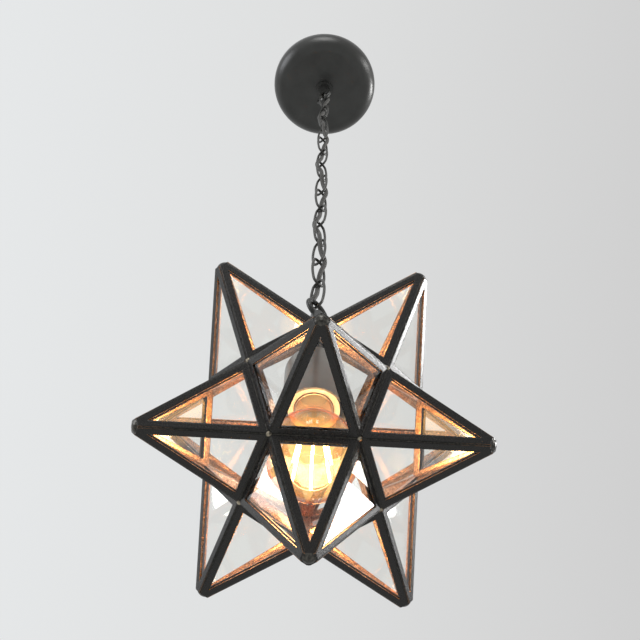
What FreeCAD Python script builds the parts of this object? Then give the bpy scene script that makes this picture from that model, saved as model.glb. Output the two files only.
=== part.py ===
"""Moravian star pendant: a glass star of twelve hollow points on a ceiling chain.

Frame: +Z up, origin on the chain's axis in the ceiling plane, +X to the right as seen from
the front and -Y towards the viewer. Lengths are millimetres.
"""
import FreeCAD, Part
import math
import os

import Sketcher
from FreeCAD import Placement, Rotation, Vector

doc = FreeCAD.newDocument("moravian_star_pendant")

# Driving dimensions: name, value, meaning.
SIZES = [
    # ceiling end
    ("canopy_radius", 67.0, "outer radius of the ceiling dish"),
    ("canopy_depth", 24.0, "ceiling to the dish's lowest face"),
    ("canopy_shoulder", 20.0, "radius of the dish's rounded shoulder"),
    ("canopy_wall", 1.0, "sheet thickness of the dish"),
    ("bar_half_length", 53.0, "middle to the end of the crossbar"),
    ("bar_width", 18.0, "width of the crossbar strip"),
    ("bar_thickness", 1.8, "thickness of the crossbar strip"),
    ("bar_drop", 12.0, "ceiling to the top of the crossbar's middle"),
    ("bar_middle", 20.0, "half length of the crossbar's dropped middle"),
    ("bar_slope", 9.0, "run of the crossbar's sloping parts"),
    ("box_screw_spacing", 88.9, "distance between the ceiling box screws"),
    ("box_slot_length", 11.0, "end to end length of a screw slot"),
    ("box_slot_width", 4.8, "width of a screw slot"),
    ("ground_screw_offset", 14.4, "axis to the ground screw"),
    ("ground_screw_radius", 1.9, "shank radius of the ground screw"),
    ("ground_head_radius", 3.4, "head radius of the ground screw"),
    ("ground_head_height", 2.2, "head height of the ground screw"),
    ("ground_screw_length", 7.0, "shank length of the ground screw"),
    # threaded tubes and nuts
    ("tube_radius", 4.9, "outer radius of the threaded tubes"),
    ("tube_bore", 3.2, "bore radius of the threaded tubes"),
    ("thread_play", 0.05, "radial play of a thread or a turning fit"),
    ("hole_play", 0.2, "radial play of a plain hole round a tube"),
    ("tube_proud", 4.0, "length of tube that stands above the crossbar"),
    ("thread_length", 12.0, "length of thread inside a loop's neck"),
    ("nut_flats", 12.6, "width of a lock nut across its flats"),
    ("nut_thickness", 3.2, "thickness of a lock nut"),
    # hanging loops
    ("eye_radius", 10.0, "mean radius of a loop's eye"),
    ("eye_wire", 4.0, "thickness of a loop's eye"),
    ("loop_foot_radius", 11.0, "radius of a loop's foot"),
    ("loop_foot_height", 4.0, "height of a loop's foot"),
    ("loop_neck_radius", 7.2, "radius of a loop's neck at its foot"),
    ("loop_throat_radius", 4.9, "radius of a loop's neck at its eye"),
    ("canopy_loop_drop", 38.0, "foot to eye centre of the canopy's loop"),
    ("star_loop_rise", 45.0, "foot to eye centre of the star's loop"),
    # chain
    ("link_wire", 2.4, "wire thickness of a chain link"),
    ("link_inner_length", 42.46, "clear length inside a chain link"),
    ("link_outer_width", 17.0, "width across a chain link"),
    ("link_end_radius", 5.6, "wire-line radius of a link's ends"),
    ("link_play", 0.06, "play between two links"),
    ("link_count", 14, "number of chain links"),
    # cord
    ("cord_diameter", 4.2, "outer diameter of the lamp cord"),
    ("cord_joint_offset", 6.6, "axis to the cord where two links meet"),
    ("cord_eye_offset", 7.0, "axis to the cord where a link meets an eye"),
    ("cord_middle_offset", 1.3, "axis to the cord inside a link"),
    ("cord_exit", 2.5, "distance past a loop's throat where the cord turns aside"),
    ("cord_tail", 6.0, "length of cord inside the lampholder's wiring space"),
    ("lead_diameter", 1.8, "diameter of an insulated lead"),
    ("lead_offset", 1.1, "axis to a lead inside the cord"),
    ("lead_depth", 2.0, "depth of the cord's end below the tube's top"),
    ("lead_height", 5.0, "ceiling to the leads' level stretch"),
    ("lead_bend", 2.6, "radius of the leads' bend"),
    ("connector_start", 16.0, "axis to a wire connector's mouth"),
    ("connector_length", 16.0, "length of a wire connector"),
    ("connector_radius", 4.4, "mouth radius of a wire connector"),
    ("connector_tip_radius", 3.0, "tip radius of a wire connector"),
    ("connector_depth", 8.0, "depth of a wire connector's bore"),
    # star
    ("tip_radius", 129.0, "star centre to a point's true tip, in the panes' middle plane"),
    ("frame_thickness", 3.5, "thickness of a pane's channel frame"),
    ("frame_flange", 4.2, "width of frame that shows beside a pane"),
    ("frame_groove", 0.3, "a frame's outer edge beyond the ridge's middle plane line"),
    ("glass_thickness", 2.0, "thickness of a pane"),
    ("glass_lap", 2.5, "depth of a pane's edge inside its channel"),
    ("glass_play", 0.05, "play between a pane and its channel"),
    ("tip_wall", 1.6, "frame between a pane and the blunt tip"),
    ("tip_cut", 5.0, "true tip to the blunt tip's face"),
    ("top_cut", 15.0, "true tip to the top point's cut face"),
    ("corner_cut", 1.6, "true corner to the frames' cut inner corners"),
    ("door_gap", 0.3, "gap round the door point"),
    ("bead_radius", 3.9, "radius of a solder bead on a tip"),
    ("bead_height", 1.6, "height of a solder bead on a tip"),
    ("hinge_tube_radius", 1.7, "outer radius of the hinge tubes"),
    ("hinge_clearance", 0.1, "gap between a hinge tube and the frames"),
    ("hinge_pin_radius", 0.75, "radius of the hinge pin"),
    ("hinge_tube_length", 10.0, "length of one hinge tube"),
    ("hinge_tube_gap", 0.3, "gap between two hinge tubes"),
    ("hinge_foot_width", 2.9, "width of a hinge tube's soldered foot"),
    ("hinge_foot_thickness", 0.75, "thickness of a hinge tube's soldered foot"),
    ("pin_head_radius", 1.3, "radius of the hinge pin's heads"),
    ("pin_head_length", 0.7, "length of the hinge pin's heads"),
    # star top and lampholder
    ("cap_radius", 13.5, "radius of the cap on the cut top point"),
    ("cap_rim", 2.0, "height of the cap's straight rim"),
    ("cap_height", 16.0, "height of the cap"),
    ("cap_shoulder_radius", 11.0, "radius of the cap's flat top"),
    ("cap_curve", 24.0, "radius of the cap's domed side"),
    ("inner_nut_depth", 6.0, "cut face to the nut inside the top point"),
    ("cup_gap", 3.0, "cup's side to the panes' middle plane at the cup's top"),
    ("cup_length", 60.0, "length of the socket cup"),
    ("cup_radius", 21.5, "outer radius of the socket cup"),
    ("cup_wall", 0.8, "sheet thickness of the socket cup"),
    ("cup_corner", 5.0, "radius of the socket cup's shoulder"),
    ("holder_gap", 0.5, "nut to the lampholder's top"),
    ("holder_radius", 17.5, "outer radius of the lampholder"),
    ("holder_length", 47.5, "length of the lampholder"),
    ("holder_neck_radius", 9.0, "radius of the lampholder's neck"),
    ("holder_neck_length", 14.0, "length of the lampholder's neck"),
    ("holder_thread", 9.5, "length of thread in the lampholder's neck"),
    ("wiring_radius", 8.0, "radius of the lampholder's wiring space"),
    ("wiring_height", 10.0, "height of the lampholder's wiring space"),
    ("holder_floor", 1.8, "thickness of floor behind the centre contact"),
    ("shell_wall", 0.5, "wall of the brass screw shell"),
    ("shell_length", 22.0, "length of the screw shell"),
    ("shell_setback", 2.0, "lampholder's mouth to the screw shell"),
    ("contact_radius", 4.5, "radius of the centre contact"),
    ("contact_thickness", 1.0, "thickness of the centre contact"),
    ("rivet_radius", 2.0, "radius of the centre contact's rivet"),
    ("rivet_proud", 1.0, "length of rivet past the lampholder's floor"),
    # bulb, heights down from its contact button
    ("bulb_length", 109.0, "length of the bulb"),
    ("bulb_radius", 30.0, "radius of the bulb's globe"),
    ("bulb_glass", 0.8, "wall of the bulb's glass"),
    ("bulb_neck_radius", 12.4, "radius of the bulb's neck"),
    ("bulb_neck_straight", 1.8, "length of straight neck below the cap"),
    ("bulb_cap_radius", 13.05, "radius of the bulb's screw cap"),
    ("bulb_cap_wall", 0.5, "wall of the bulb's screw cap"),
    ("bulb_cap_top", 4.1, "contact button to the cap's top"),
    ("bulb_cap_length", 22.0, "length of the screw cap"),
    ("bulb_cap_cone", 3.0, "height of the cap's tapered top"),
    ("bulb_cap_mouth", 9.9, "radius of the hole in the cap's top"),
    ("bulb_neck_grip", 4.0, "length of neck inside the cap"),
    ("button_radius", 4.5, "radius of the contact button"),
    ("button_height", 1.6, "height of the contact button"),
    ("contact_play", 0.1, "gap between button and contact"),
    ("stem_radius", 4.2, "radius of the glass stem"),
    ("stem_tip_radius", 2.0, "radius of the stem's pressed tip"),
    ("stem_proud", 0.6, "length of stem past the filaments' upper ends"),
    ("stem_flare", 6.0, "height of the stem's flare"),
    ("filament_count", 6, "number of upright filaments"),
    ("filament_radius", 0.9, "radius of a filament"),
    ("filament_length", 36.0, "length of a filament"),
    ("filament_top_circle", 9.0, "axis to a filament's upper end"),
    ("filament_foot_circle", 13.5, "axis to a filament's lower end"),
    ("filament_wire", 0.35, "radius of the filaments' support wires"),
]

STAR_TURN = 72.0
POINT_SIDES = 5
LINK_TURN = 45.0
DOOR_AZIMUTH = 90.0
GOLDEN = (1 + math.sqrt(5)) / 2
# a five-sided point's height and the core's inner radius, both for a base edge of 1
POINT_RATIO = math.sqrt(GOLDEN ** 2 - 1 / (4 * math.sin(math.radians(36)) ** 2))
CORE_RATIO = math.sqrt(250 + 110 * math.sqrt(5)) / 20
# the frames meet at this half angle off square, and a pane leans this much off its point's axis
MITRE = math.atan(1 / GOLDEN)
LEAN = math.atan(0.5)
TIP_HALF = math.radians(18)
CORNER_HALF = math.radians(36)
TOP = Vector(0, 0, 1)


def make_sheet():
    sheet = doc.addObject("Spreadsheet::Sheet", "size")
    for row, (name, value, meaning) in enumerate(SIZES, start=1):
        sheet.set(f"A{row}", name)
        sheet.set(f"B{row}", str(value))
        sheet.set(f"C{row}", meaning)
        sheet.setAlias(f"B{row}", name)
    doc.recompute()
    return sheet


sheet = make_sheet()
place = doc.addObject("App::VarSet", "place")
nodes = []


def number(expression):
    """Value of an expression on the sheet's sizes and the derived places."""
    return float(sheet.evalExpression(expression))


def derive(name, expression):
    place.addProperty("App::PropertyFloat", name)
    place.setExpression(name, expression)
    doc.recompute()


def node(piece, label, height=None, turn=None):
    """Give a finished piece its label, its turn and its height, and keep it as a node."""
    piece.Label = label
    if turn is not None:
        piece.Placement.Rotation = turn
    if height is not None:
        piece.setExpression("Placement.Base.z", height)
    nodes.append(piece)
    return piece


def derive_places():
    derive("bar_top", "-size.bar_drop")
    derive("bar_under", "-size.bar_drop - size.bar_thickness")
    derive("tube_top", "-size.bar_drop + size.tube_proud")
    derive("canopy_eye", "-size.canopy_depth - size.canopy_loop_drop")
    derive("half_link", "(size.link_inner_length + size.link_wire) / 2")
    derive("link_pitch", "size.link_inner_length - size.link_play")
    derive("eye_step", "(size.eye_wire + size.link_wire) / 2 + size.link_play")
    derive("first_link", "place.canopy_eye - size.eye_radius + place.eye_step - place.half_link")
    derive("last_link", "place.first_link - (size.link_count - 1) * place.link_pitch")
    derive("star_eye", "place.last_link - place.half_link + place.eye_step - size.eye_radius")
    derive("cap_base", "size.tip_radius - size.top_cut")
    derive("loop_base", "place.cap_base + size.cap_height")
    derive("star", "place.star_eye - place.loop_base - size.star_loop_rise")
    derive("cup_top", "size.tip_radius - (size.cup_radius + size.cup_gap) * 2")
    derive("cup_mouth", "place.cup_top - size.cup_length")
    derive("holder_top", "place.cup_top - size.cup_wall - size.nut_thickness - size.holder_gap")
    derive("holder_mouth", "place.holder_top - size.holder_length")
    derive("tube_end", "place.holder_top - size.holder_thread")
    derive("wiring_floor", "place.tube_end - size.wiring_height")
    derive("holder_seat", "place.wiring_floor - size.holder_floor")
    derive("shell_radius", "size.bulb_cap_radius + size.thread_play + size.shell_wall")
    derive("bulb", "place.holder_seat - size.contact_thickness - size.contact_play")
    derive("globe", "size.bulb_radius - size.bulb_length")
    derive("cap_skirt", "-size.bulb_cap_top - size.bulb_cap_length")
    derive("neck_top", "place.cap_skirt - size.bulb_neck_straight")
    derive("neck_curve", "((place.neck_top - place.globe)^2 + size.bulb_neck_radius^2 - size.bulb_radius^2)"
           " / (2 * (size.bulb_radius - size.bulb_neck_radius))")
    derive("neck_cosine", "(size.bulb_neck_radius + place.neck_curve)"
           " / (size.bulb_radius + place.neck_curve)")
    derive("neck_sine", "(place.neck_top - place.globe) / (size.bulb_radius + place.neck_curve)")
    derive("filament_lean", "asin((size.filament_foot_circle - size.filament_top_circle)"
           " / size.filament_length)")
    derive("filament_dip", "size.filament_radius * sin(place.filament_lean)")
    derive("side_curve", "((size.link_outer_width - size.link_wire)^2 / 4"
           " + (place.half_link - size.link_end_radius)^2 - size.link_end_radius^2)"
           " / (size.link_outer_width - size.link_wire - 2 * size.link_end_radius)")


# ---------------------------------------------------------------- sketches and simple pieces

def base_plane(body, role):
    return next(plane for plane in body.Origin.OriginFeatures if plane.Role == role)


def new_sketch(body, name, role):
    sketch = body.newObject("Sketcher::SketchObject", name)
    sketch.AttachmentSupport = [(base_plane(body, role), "")]
    sketch.MapMode = "FlatFace"
    return sketch


def bind(sketch, constraint, expression):
    index = sketch.addConstraint(constraint)
    sketch.setExpression(f"Constraints[{index}]", expression)


def arc_between(start, end, radius, turn):
    """Arc of less than half a circle; turn is 1 to the left and -1 to the right."""
    chord = end - start
    across = Vector(-chord.y, chord.x, 0).normalize()
    rise = math.sqrt(radius ** 2 - (chord.Length / 2) ** 2)
    centre = (start + end) * 0.5 + across * (rise * turn)
    first, last = (start, end) if turn > 0 else (end, start)
    begin = math.atan2(first.y - centre.y, first.x - centre.x)
    finish = math.atan2(last.y - centre.y, last.x - centre.x)
    if finish < begin:
        finish += 2 * math.pi
    return Part.ArcOfCircle(Part.Circle(centre, Vector(0, 0, 1), radius), begin, finish)


def draw_outline(sketch, path):
    """Closed outline. A stop is (across, up), and (across, up, radius, turn) ends an arc."""
    points = [Vector(number(stop[0]), number(stop[1]), 0) for stop in path]
    ends = []
    for index, start in enumerate(points):
        stop = path[(index + 1) % len(path)]
        end = points[(index + 1) % len(points)]
        if len(stop) == 2:
            sketch.addGeometry(Part.LineSegment(start, end))
            ends.append((1, 2))
        else:
            sketch.addGeometry(arc_between(start, end, number(stop[2]), stop[3]))
            ends.append((1, 2) if stop[3] > 0 else (2, 1))
    for index, (start_end, finish_end) in enumerate(ends):
        following = (index + 1) % len(ends)
        across, up = path[index][0], path[index][1]
        sketch.addConstraint(
            Sketcher.Constraint("Coincident", index, finish_end, following, ends[following][0]))
        bind(sketch, Sketcher.Constraint("DistanceX", -1, 1, index, start_end, points[index].x), across)
        bind(sketch, Sketcher.Constraint("DistanceY", -1, 1, index, start_end, points[index].y), up)
        stop = path[following]
        if len(stop) == 4:
            bind(sketch, Sketcher.Constraint("Radius", index, number(stop[2])), stop[2])


def turned_body(name, path):
    """Body turned round the vertical axis from an outline of (radius, height) stops."""
    body = doc.addObject("PartDesign::Body", name)
    sketch = new_sketch(body, name + "_outline", "XZ_Plane")
    draw_outline(sketch, path)
    turned = body.newObject("PartDesign::Revolution", name + "_turned")
    turned.Profile = sketch
    turned.ReferenceAxis = (sketch, ["V_Axis"])
    turned.Angle = 360
    doc.recompute()
    return body


def primitive(kind, name, height="0", **sizes):
    piece = doc.addObject(kind, name)
    for size, expression in sizes.items():
        piece.setExpression(size, expression)
    piece.setExpression("Placement.Base.z", height)
    return piece


def cut(name, base, tool):
    piece = doc.addObject("Part::Cut", name)
    piece.Base = base
    piece.Tool = tool
    return piece


def fuse(name, pieces):
    piece = doc.addObject("Part::MultiFuse", name)
    piece.Shapes = pieces
    return piece


def group(name, pieces):
    piece = doc.addObject("Part::Compound", name)
    piece.Links = pieces
    return piece


def lock_nut(name, height):
    body = primitive("Part::Prism", name + "_hexagon", height,
                     Circumradius="size.nut_flats / 2 / cos(30deg)", Height="size.nut_thickness")
    body.Polygon = 6
    bore = primitive("Part::Cylinder", name + "_bore", height,
                     Radius="size.tube_radius + size.thread_play", Height="size.nut_thickness")
    return cut(name, body, bore)


def threaded_tube(label, bottom, top, height=None):
    length = f"({top}) - ({bottom})"
    outside = primitive("Part::Cylinder", label + "_outside", bottom,
                        Radius="size.tube_radius", Height=length)
    bore = primitive("Part::Cylinder", label + "_bore", bottom,
                     Radius="size.tube_bore", Height=length)
    return node(cut(label, outside, bore), label, height)


# ---------------------------------------------------------------- ceiling end

def make_canopy():
    hole = "size.tube_radius + size.hole_play"
    shoulder_start = "size.canopy_radius - size.canopy_shoulder"
    shoulder_top = "size.canopy_shoulder - size.canopy_depth"
    inside = "size.canopy_radius - size.canopy_wall"
    floor = "size.canopy_wall - size.canopy_depth"
    canopy = turned_body("canopy", [
        (hole, "-size.canopy_depth"),
        (shoulder_start, "-size.canopy_depth"),
        ("size.canopy_radius", shoulder_top, "size.canopy_shoulder", 1),
        ("size.canopy_radius", "0"),
        (inside, "0"),
        (inside, shoulder_top),
        (shoulder_start, floor, "size.canopy_shoulder - size.canopy_wall", -1),
        (hole, floor),
    ])
    node(canopy, "canopy")


def make_crossbar():
    body = doc.addObject("PartDesign::Body", "crossbar")
    sketch = new_sketch(body, "crossbar_side", "XZ_Plane")
    knee = "size.bar_middle + size.bar_slope"
    top = [("size.bar_half_length", "0"), (knee, "0"), ("size.bar_middle", "place.bar_top")]
    upper = top + [(f"-({across})", up) for across, up in reversed(top)]
    lower = [(across, f"{up} - size.bar_thickness") for across, up in reversed(upper)]
    draw_outline(sketch, upper + lower)
    strip = body.newObject("PartDesign::Pad", "crossbar_strip")
    strip.Profile = sketch
    strip.SideType = "Symmetric"
    strip.setExpression("Length", "size.bar_width")
    holes = new_sketch(body, "crossbar_holes", "XY_Plane")
    circles = [("0", "size.tube_radius + size.thread_play"),
               ("-size.ground_screw_offset", "size.ground_screw_radius + size.thread_play")]
    for index, (across, radius) in enumerate(circles):
        centre = Vector(number(across), 0, 0)
        holes.addGeometry(Part.Circle(centre, Vector(0, 0, 1), number(radius)))
        holes.addConstraint(Sketcher.Constraint("PointOnObject", index, 3, -1))
        bind(holes, Sketcher.Constraint("DistanceX", -1, 1, index, 3, centre.x), across)
        bind(holes, Sketcher.Constraint("Radius", index, number(radius)), radius)
    bores = through_pocket(body, holes, "crossbar_bores")
    slots = new_sketch(body, "crossbar_slot", "XY_Plane")
    near = "size.box_screw_spacing / 2 - (size.box_slot_length - size.box_slot_width) / 2"
    far = "size.box_screw_spacing / 2 + (size.box_slot_length - size.box_slot_width) / 2"
    half = "size.box_slot_width / 2"
    draw_slot(slots, near, far, half)
    slot = through_pocket(body, slots, "crossbar_one_slot")
    both = body.newObject("PartDesign::PolarPattern", "crossbar_slots")
    both.Originals = [slot]
    both.Axis = (slots, ["N_Axis"])
    both.Angle = 360
    both.Occurrences = 2
    body.Tip = both
    doc.recompute()
    if not both.Shape.Volume < slot.Shape.Volume < bores.Shape.Volume < strip.Shape.Volume:
        raise RuntimeError("a crossbar hole cut nothing")
    node(body, "crossbar")


def draw_slot(sketch, near, far, half):
    """A slot along X: two lines and two half circles."""
    low, high, radius = number(near), number(far), number(half)
    up = Vector(0, 0, 1)
    sketch.addGeometry(Part.LineSegment(Vector(low, -radius, 0), Vector(high, -radius, 0)))
    sketch.addGeometry(Part.ArcOfCircle(Part.Circle(Vector(high, 0, 0), up, radius),
                                        -math.pi / 2, math.pi / 2))
    sketch.addGeometry(Part.LineSegment(Vector(high, radius, 0), Vector(low, radius, 0)))
    sketch.addGeometry(Part.ArcOfCircle(Part.Circle(Vector(low, 0, 0), up, radius),
                                        math.pi / 2, 3 * math.pi / 2))
    for index in range(4):
        sketch.addConstraint(Sketcher.Constraint("Tangent", index, 2, (index + 1) % 4, 1))
    sketch.addConstraint(Sketcher.Constraint("PointOnObject", 1, 3, -1))
    sketch.addConstraint(Sketcher.Constraint("PointOnObject", 3, 3, -1))
    bind(sketch, Sketcher.Constraint("DistanceX", -1, 1, 1, 3, high), far)
    bind(sketch, Sketcher.Constraint("DistanceX", -1, 1, 3, 3, low), near)
    bind(sketch, Sketcher.Constraint("Radius", 1, radius), half)


def through_pocket(body, sketch, name):
    pocket = body.newObject("PartDesign::Pocket", name)
    pocket.Profile = sketch
    pocket.Type = 1
    pocket.SideType = "Symmetric"
    doc.recompute()
    return pocket


def make_ground_screw():
    head = primitive("Part::Cylinder", "ground_screw_head",
                     "place.bar_under - size.ground_head_height",
                     Radius="size.ground_head_radius", Height="size.ground_head_height")
    shank = primitive("Part::Cylinder", "ground_screw_shank", "place.bar_under",
                      Radius="size.ground_screw_radius", Height="size.ground_screw_length")
    for piece in (head, shank):
        piece.setExpression("Placement.Base.x", "-size.ground_screw_offset")
    node(fuse("ground_screw", [head, shank]), "ground_screw")


def make_canopy_tube_and_nuts():
    threaded_tube("canopy_tube", "-size.canopy_depth - size.thread_length", "place.tube_top")
    heights = ["place.bar_top", "place.bar_under - size.nut_thickness",
               "size.canopy_wall - size.canopy_depth"]
    nuts = [lock_nut(f"canopy_nut_{count}", height) for count, height in enumerate(heights, start=1)]
    node(group("canopy_lock_nuts", nuts), "canopy_lock_nuts")


def hanging_loop(label, rise, plane_turn, height, turn=None):
    """Cast loop: a round foot, a tapered neck with a threaded bore, and an eye."""
    throat = f"({rise}) - size.eye_radius + size.eye_wire / 2"
    foot = primitive("Part::Cylinder", label + "_foot",
                     Radius="size.loop_foot_radius", Height="size.loop_foot_height")
    neck = primitive("Part::Cone", label + "_neck", "size.loop_foot_height",
                     Radius1="size.loop_neck_radius", Radius2="size.loop_throat_radius",
                     Height=f"{throat} - size.loop_foot_height")
    eye = primitive("Part::Torus", label + "_eye", rise,
                    Radius1="size.eye_radius", Radius2="size.eye_wire / 2")
    eye.Placement.Rotation = Rotation(TOP, plane_turn) * Rotation(Vector(1, 0, 0), 90)
    thread = primitive("Part::Cylinder", label + "_thread",
                       Radius="size.tube_radius + size.thread_play", Height="size.thread_length")
    bore = primitive("Part::Cylinder", label + "_bore",
                     Radius="size.tube_bore", Height=rise)
    solid = fuse(label + "_solid", [foot, neck, eye])
    hollow = fuse(label + "_hollow", [thread, bore])
    node(cut(label, solid, hollow), label, height, turn)


def make_leads_and_connectors():
    """Two leads rise out of the cord's end, turn level and run into a connector each."""
    reach = number("size.connector_start + size.connector_depth")
    level = -number("size.lead_height")
    start = number("place.tube_top - size.lead_depth")
    offset = number("size.lead_offset")
    bend = number("size.lead_bend")
    radius = number("size.lead_diameter / 2")
    leads = []
    for side in (-1, 1):
        foot = Vector(0, side * offset, start)
        rise = Vector(0, side * offset, level - bend)
        slant = bend * math.sqrt(0.5)
        middle = Vector(0, side * (offset + bend - slant), level - bend + slant)
        turn = Vector(0, side * (offset + bend), level)
        end = Vector(0, side * reach, level)
        path = Part.Wire([Part.LineSegment(foot, rise).toShape(),
                          Part.Arc(rise, middle, turn).toShape(),
                          Part.LineSegment(turn, end).toShape()])
        section = Part.Wire(Part.makeCircle(radius, foot, TOP))
        leads.append(path.makePipeShell([section], True, False))
    feature = doc.addObject("Part::Feature", "supply_leads")
    feature.Shape = Part.makeCompound(leads)
    feature.Placement = Placement()
    node(feature, "supply_leads")
    connectors = []
    for side in (-1, 1):
        name = f"connector_{'left' if side < 0 else 'right'}"
        shell = primitive("Part::Cone", name + "_shell", "-size.lead_height",
                          Radius1="size.connector_radius", Radius2="size.connector_tip_radius",
                          Height="size.connector_length")
        bore = primitive("Part::Cylinder", name + "_bore", "-size.lead_height",
                         Radius="size.lead_diameter / 2 + size.thread_play",
                         Height="size.connector_depth")
        for piece in (shell, bore):
            piece.Placement.Rotation = Rotation(TOP, Vector(0, side, 0))
            piece.setExpression("Placement.Base.y", f"{side} * size.connector_start")
        connectors.append(cut(name, shell, bore))
    node(group("wire_connectors", connectors), "wire_connectors")


# ---------------------------------------------------------------- chain and cord

def link_turn(count):
    """Turn of link number count about the vertical axis; neighbours stand square to each other."""
    return LINK_TURN if count % 2 else -LINK_TURN


def link_height(count):
    return f"place.first_link - {count - 1} * place.link_pitch"


def draw_link_path(sketch):
    """Oval of four tangent arcs, upright, round the sketch's origin."""
    half_width = number("(size.link_outer_width - size.link_wire) / 2")
    side = number("place.side_curve")
    end = number("size.link_end_radius")
    lift = number("place.half_link - size.link_end_radius")
    meet = math.atan2(lift, side - half_width)
    arcs = [
        (Vector(0, lift, 0), end, meet, math.pi - meet),
        (Vector(side - half_width, 0, 0), side, math.pi - meet, math.pi + meet),
        (Vector(0, -lift, 0), end, math.pi + meet, 2 * math.pi - meet),
        (Vector(half_width - side, 0, 0), side, -meet, meet),
    ]
    for centre, radius, begin, finish in arcs:
        circle = Part.Circle(centre, Vector(0, 0, 1), radius)
        sketch.addGeometry(Part.ArcOfCircle(circle, begin, finish))
    for index in range(4):
        sketch.addConstraint(Sketcher.Constraint("Tangent", index, 2, (index + 1) % 4, 1))
    for index, sign in ((0, 1), (2, -1)):
        sketch.addConstraint(Sketcher.Constraint("PointOnObject", index, 3, -2))
        bind(sketch, Sketcher.Constraint("DistanceY", -1, 1, index, 3, sign * lift),
             f"{sign} * (place.half_link - size.link_end_radius)")
        bind(sketch, Sketcher.Constraint("Radius", index, end), "size.link_end_radius")
    for index in (1, 3):
        bind(sketch, Sketcher.Constraint("Radius", index, side), "place.side_curve")


def make_link(count):
    name = f"chain_link_{count:02d}"
    body = doc.addObject("PartDesign::Body", name)
    path = new_sketch(body, name + "_path", "XZ_Plane")
    draw_link_path(path)
    section = new_sketch(body, name + "_section", "XY_Plane")
    half_width = "(size.link_outer_width - size.link_wire) / 2"
    centre = Vector(number(half_width), 0, 0)
    section.addGeometry(Part.Circle(centre, Vector(0, 0, 1), number("size.link_wire / 2")))
    section.addConstraint(Sketcher.Constraint("PointOnObject", 0, 3, -1))
    bind(section, Sketcher.Constraint("DistanceX", -1, 1, 0, 3, centre.x), half_width)
    bind(section, Sketcher.Constraint("Radius", 0, number("size.link_wire / 2")), "size.link_wire / 2")
    doc.recompute()
    wire = body.newObject("PartDesign::AdditivePipe", name + "_wire")
    wire.Profile = section
    wire.Spine = path
    doc.recompute()
    node(body, name, link_height(count), Rotation(TOP, link_turn(count)))


def around(offset, azimuth, height):
    angle = math.radians(azimuth)
    return Vector(offset * math.cos(angle), offset * math.sin(angle), height)


def cord_route():
    """The cord comes down the canopy's tube, winds through every link and enters the star's tube."""
    eye_offset = number("size.cord_eye_offset")
    joint_offset = number("size.cord_joint_offset")
    middle_offset = number("size.cord_middle_offset")
    links = int(number("size.link_count"))
    turn_aside = number("size.eye_radius - size.eye_wire / 2 - size.cord_exit")
    joint_drop = number("place.half_link - (size.link_wire + size.link_play) / 2")
    quarter = 90.0
    route = [Vector(0, 0, number("place.tube_top - size.lead_depth")),
             Vector(0, 0, number("place.canopy_eye") + turn_aside)]
    for count in range(1, links + 1):
        centre = number(link_height(count))
        joint_azimuth = quarter * (count - 1)
        offset = eye_offset if count == 1 else joint_offset
        route.append(around(offset, joint_azimuth, centre + joint_drop))
        route.append(around(middle_offset, joint_azimuth + quarter / 2, centre))
    last = number("place.last_link") - joint_drop
    route.append(around(eye_offset, quarter * links, last))
    route.append(Vector(0, 0, number("place.star_eye") - turn_aside))
    route.append(Vector(0, 0, number("place.star + place.tube_end - size.cord_tail")))
    return route


def make_cord():
    """Tube of straight runs joined by tangent arcs, as large as the shorter run allows."""
    share = 0.45
    route = cord_route()
    edges = []
    radii = []
    start = route[0]
    for before, corner, after in zip(route, route[1:], route[2:]):
        arriving = (corner - before).normalize()
        leaving = (after - corner).normalize()
        reach = share * min((corner - before).Length, (after - corner).Length)
        turn = arriving.getAngle(leaving)
        radius = reach / math.tan(turn / 2)
        radii.append(round(radius, 1))
        enter = corner - arriving * reach
        leave = corner + leaving * reach
        inward = (leaving - arriving).normalize()
        middle = corner + inward * (radius / math.cos(turn / 2) - radius)
        edges.append(Part.LineSegment(start, enter).toShape())
        edges.append(Part.Arc(enter, middle, leave).toShape())
        start = leave
    edges.append(Part.LineSegment(start, route[-1]).toShape())
    path = Part.Wire(edges)
    length = path.Length
    radius = number("size.cord_diameter / 2")
    section = Part.Wire(Part.makeCircle(radius, route[0], TOP))
    tube = path.makePipeShell([section], True, False)
    print("cord arc radii", min(radii), "to", max(radii), "length", round(length, 1),
          "volume ratio", round(tube.Volume / (math.pi * radius ** 2 * length), 5))
    feature = doc.addObject("Part::Feature", "lamp_cord")
    feature.Shape = tube
    feature.Placement = Placement()
    node(feature, "lamp_cord")


# ---------------------------------------------------------------- panes and their frames

def cross_lines(first, second):
    """Meeting point of two lines, each (across, down, offset): across * x + down * y = offset."""
    (a, b, c), (d, e, f) = first, second
    scale = a * e - b * d
    return (c * e - b * f) / scale, (a * f - c * d) / scale


def pane_outline(leg, base, tip, corner=None):
    """Corners of a pane's outline, measured from the true tip with y down the pane.

    leg, base and corner are distances outside the true triangle's lines, and tip is the
    distance from the true tip to the outline's cut end, or None where it runs to a point.
    """
    edge = number("size.tip_radius") / (POINT_RATIO + CORE_RATIO)
    drop = GOLDEN * edge * math.cos(TIP_HALF)
    right_leg = (math.cos(TIP_HALF), -math.sin(TIP_HALF), leg)
    left_leg = (-math.cos(TIP_HALF), -math.sin(TIP_HALF), leg)
    foot = (0.0, 1.0, drop + base)
    lines = [right_leg]
    if corner is not None:
        reach = edge / 2 * math.cos(CORNER_HALF) + drop * math.sin(CORNER_HALF) + corner
        lines.append((math.cos(CORNER_HALF), math.sin(CORNER_HALF), reach))
    lines.append(foot)
    if corner is not None:
        lines.append((-math.cos(CORNER_HALF), math.sin(CORNER_HALF), reach))
    lines.append(left_leg)
    if tip is not None:
        lines.append((0.0, -1.0, -tip))
    return [cross_lines(lines[index - 1], line) for index, line in enumerate(lines)]


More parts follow.
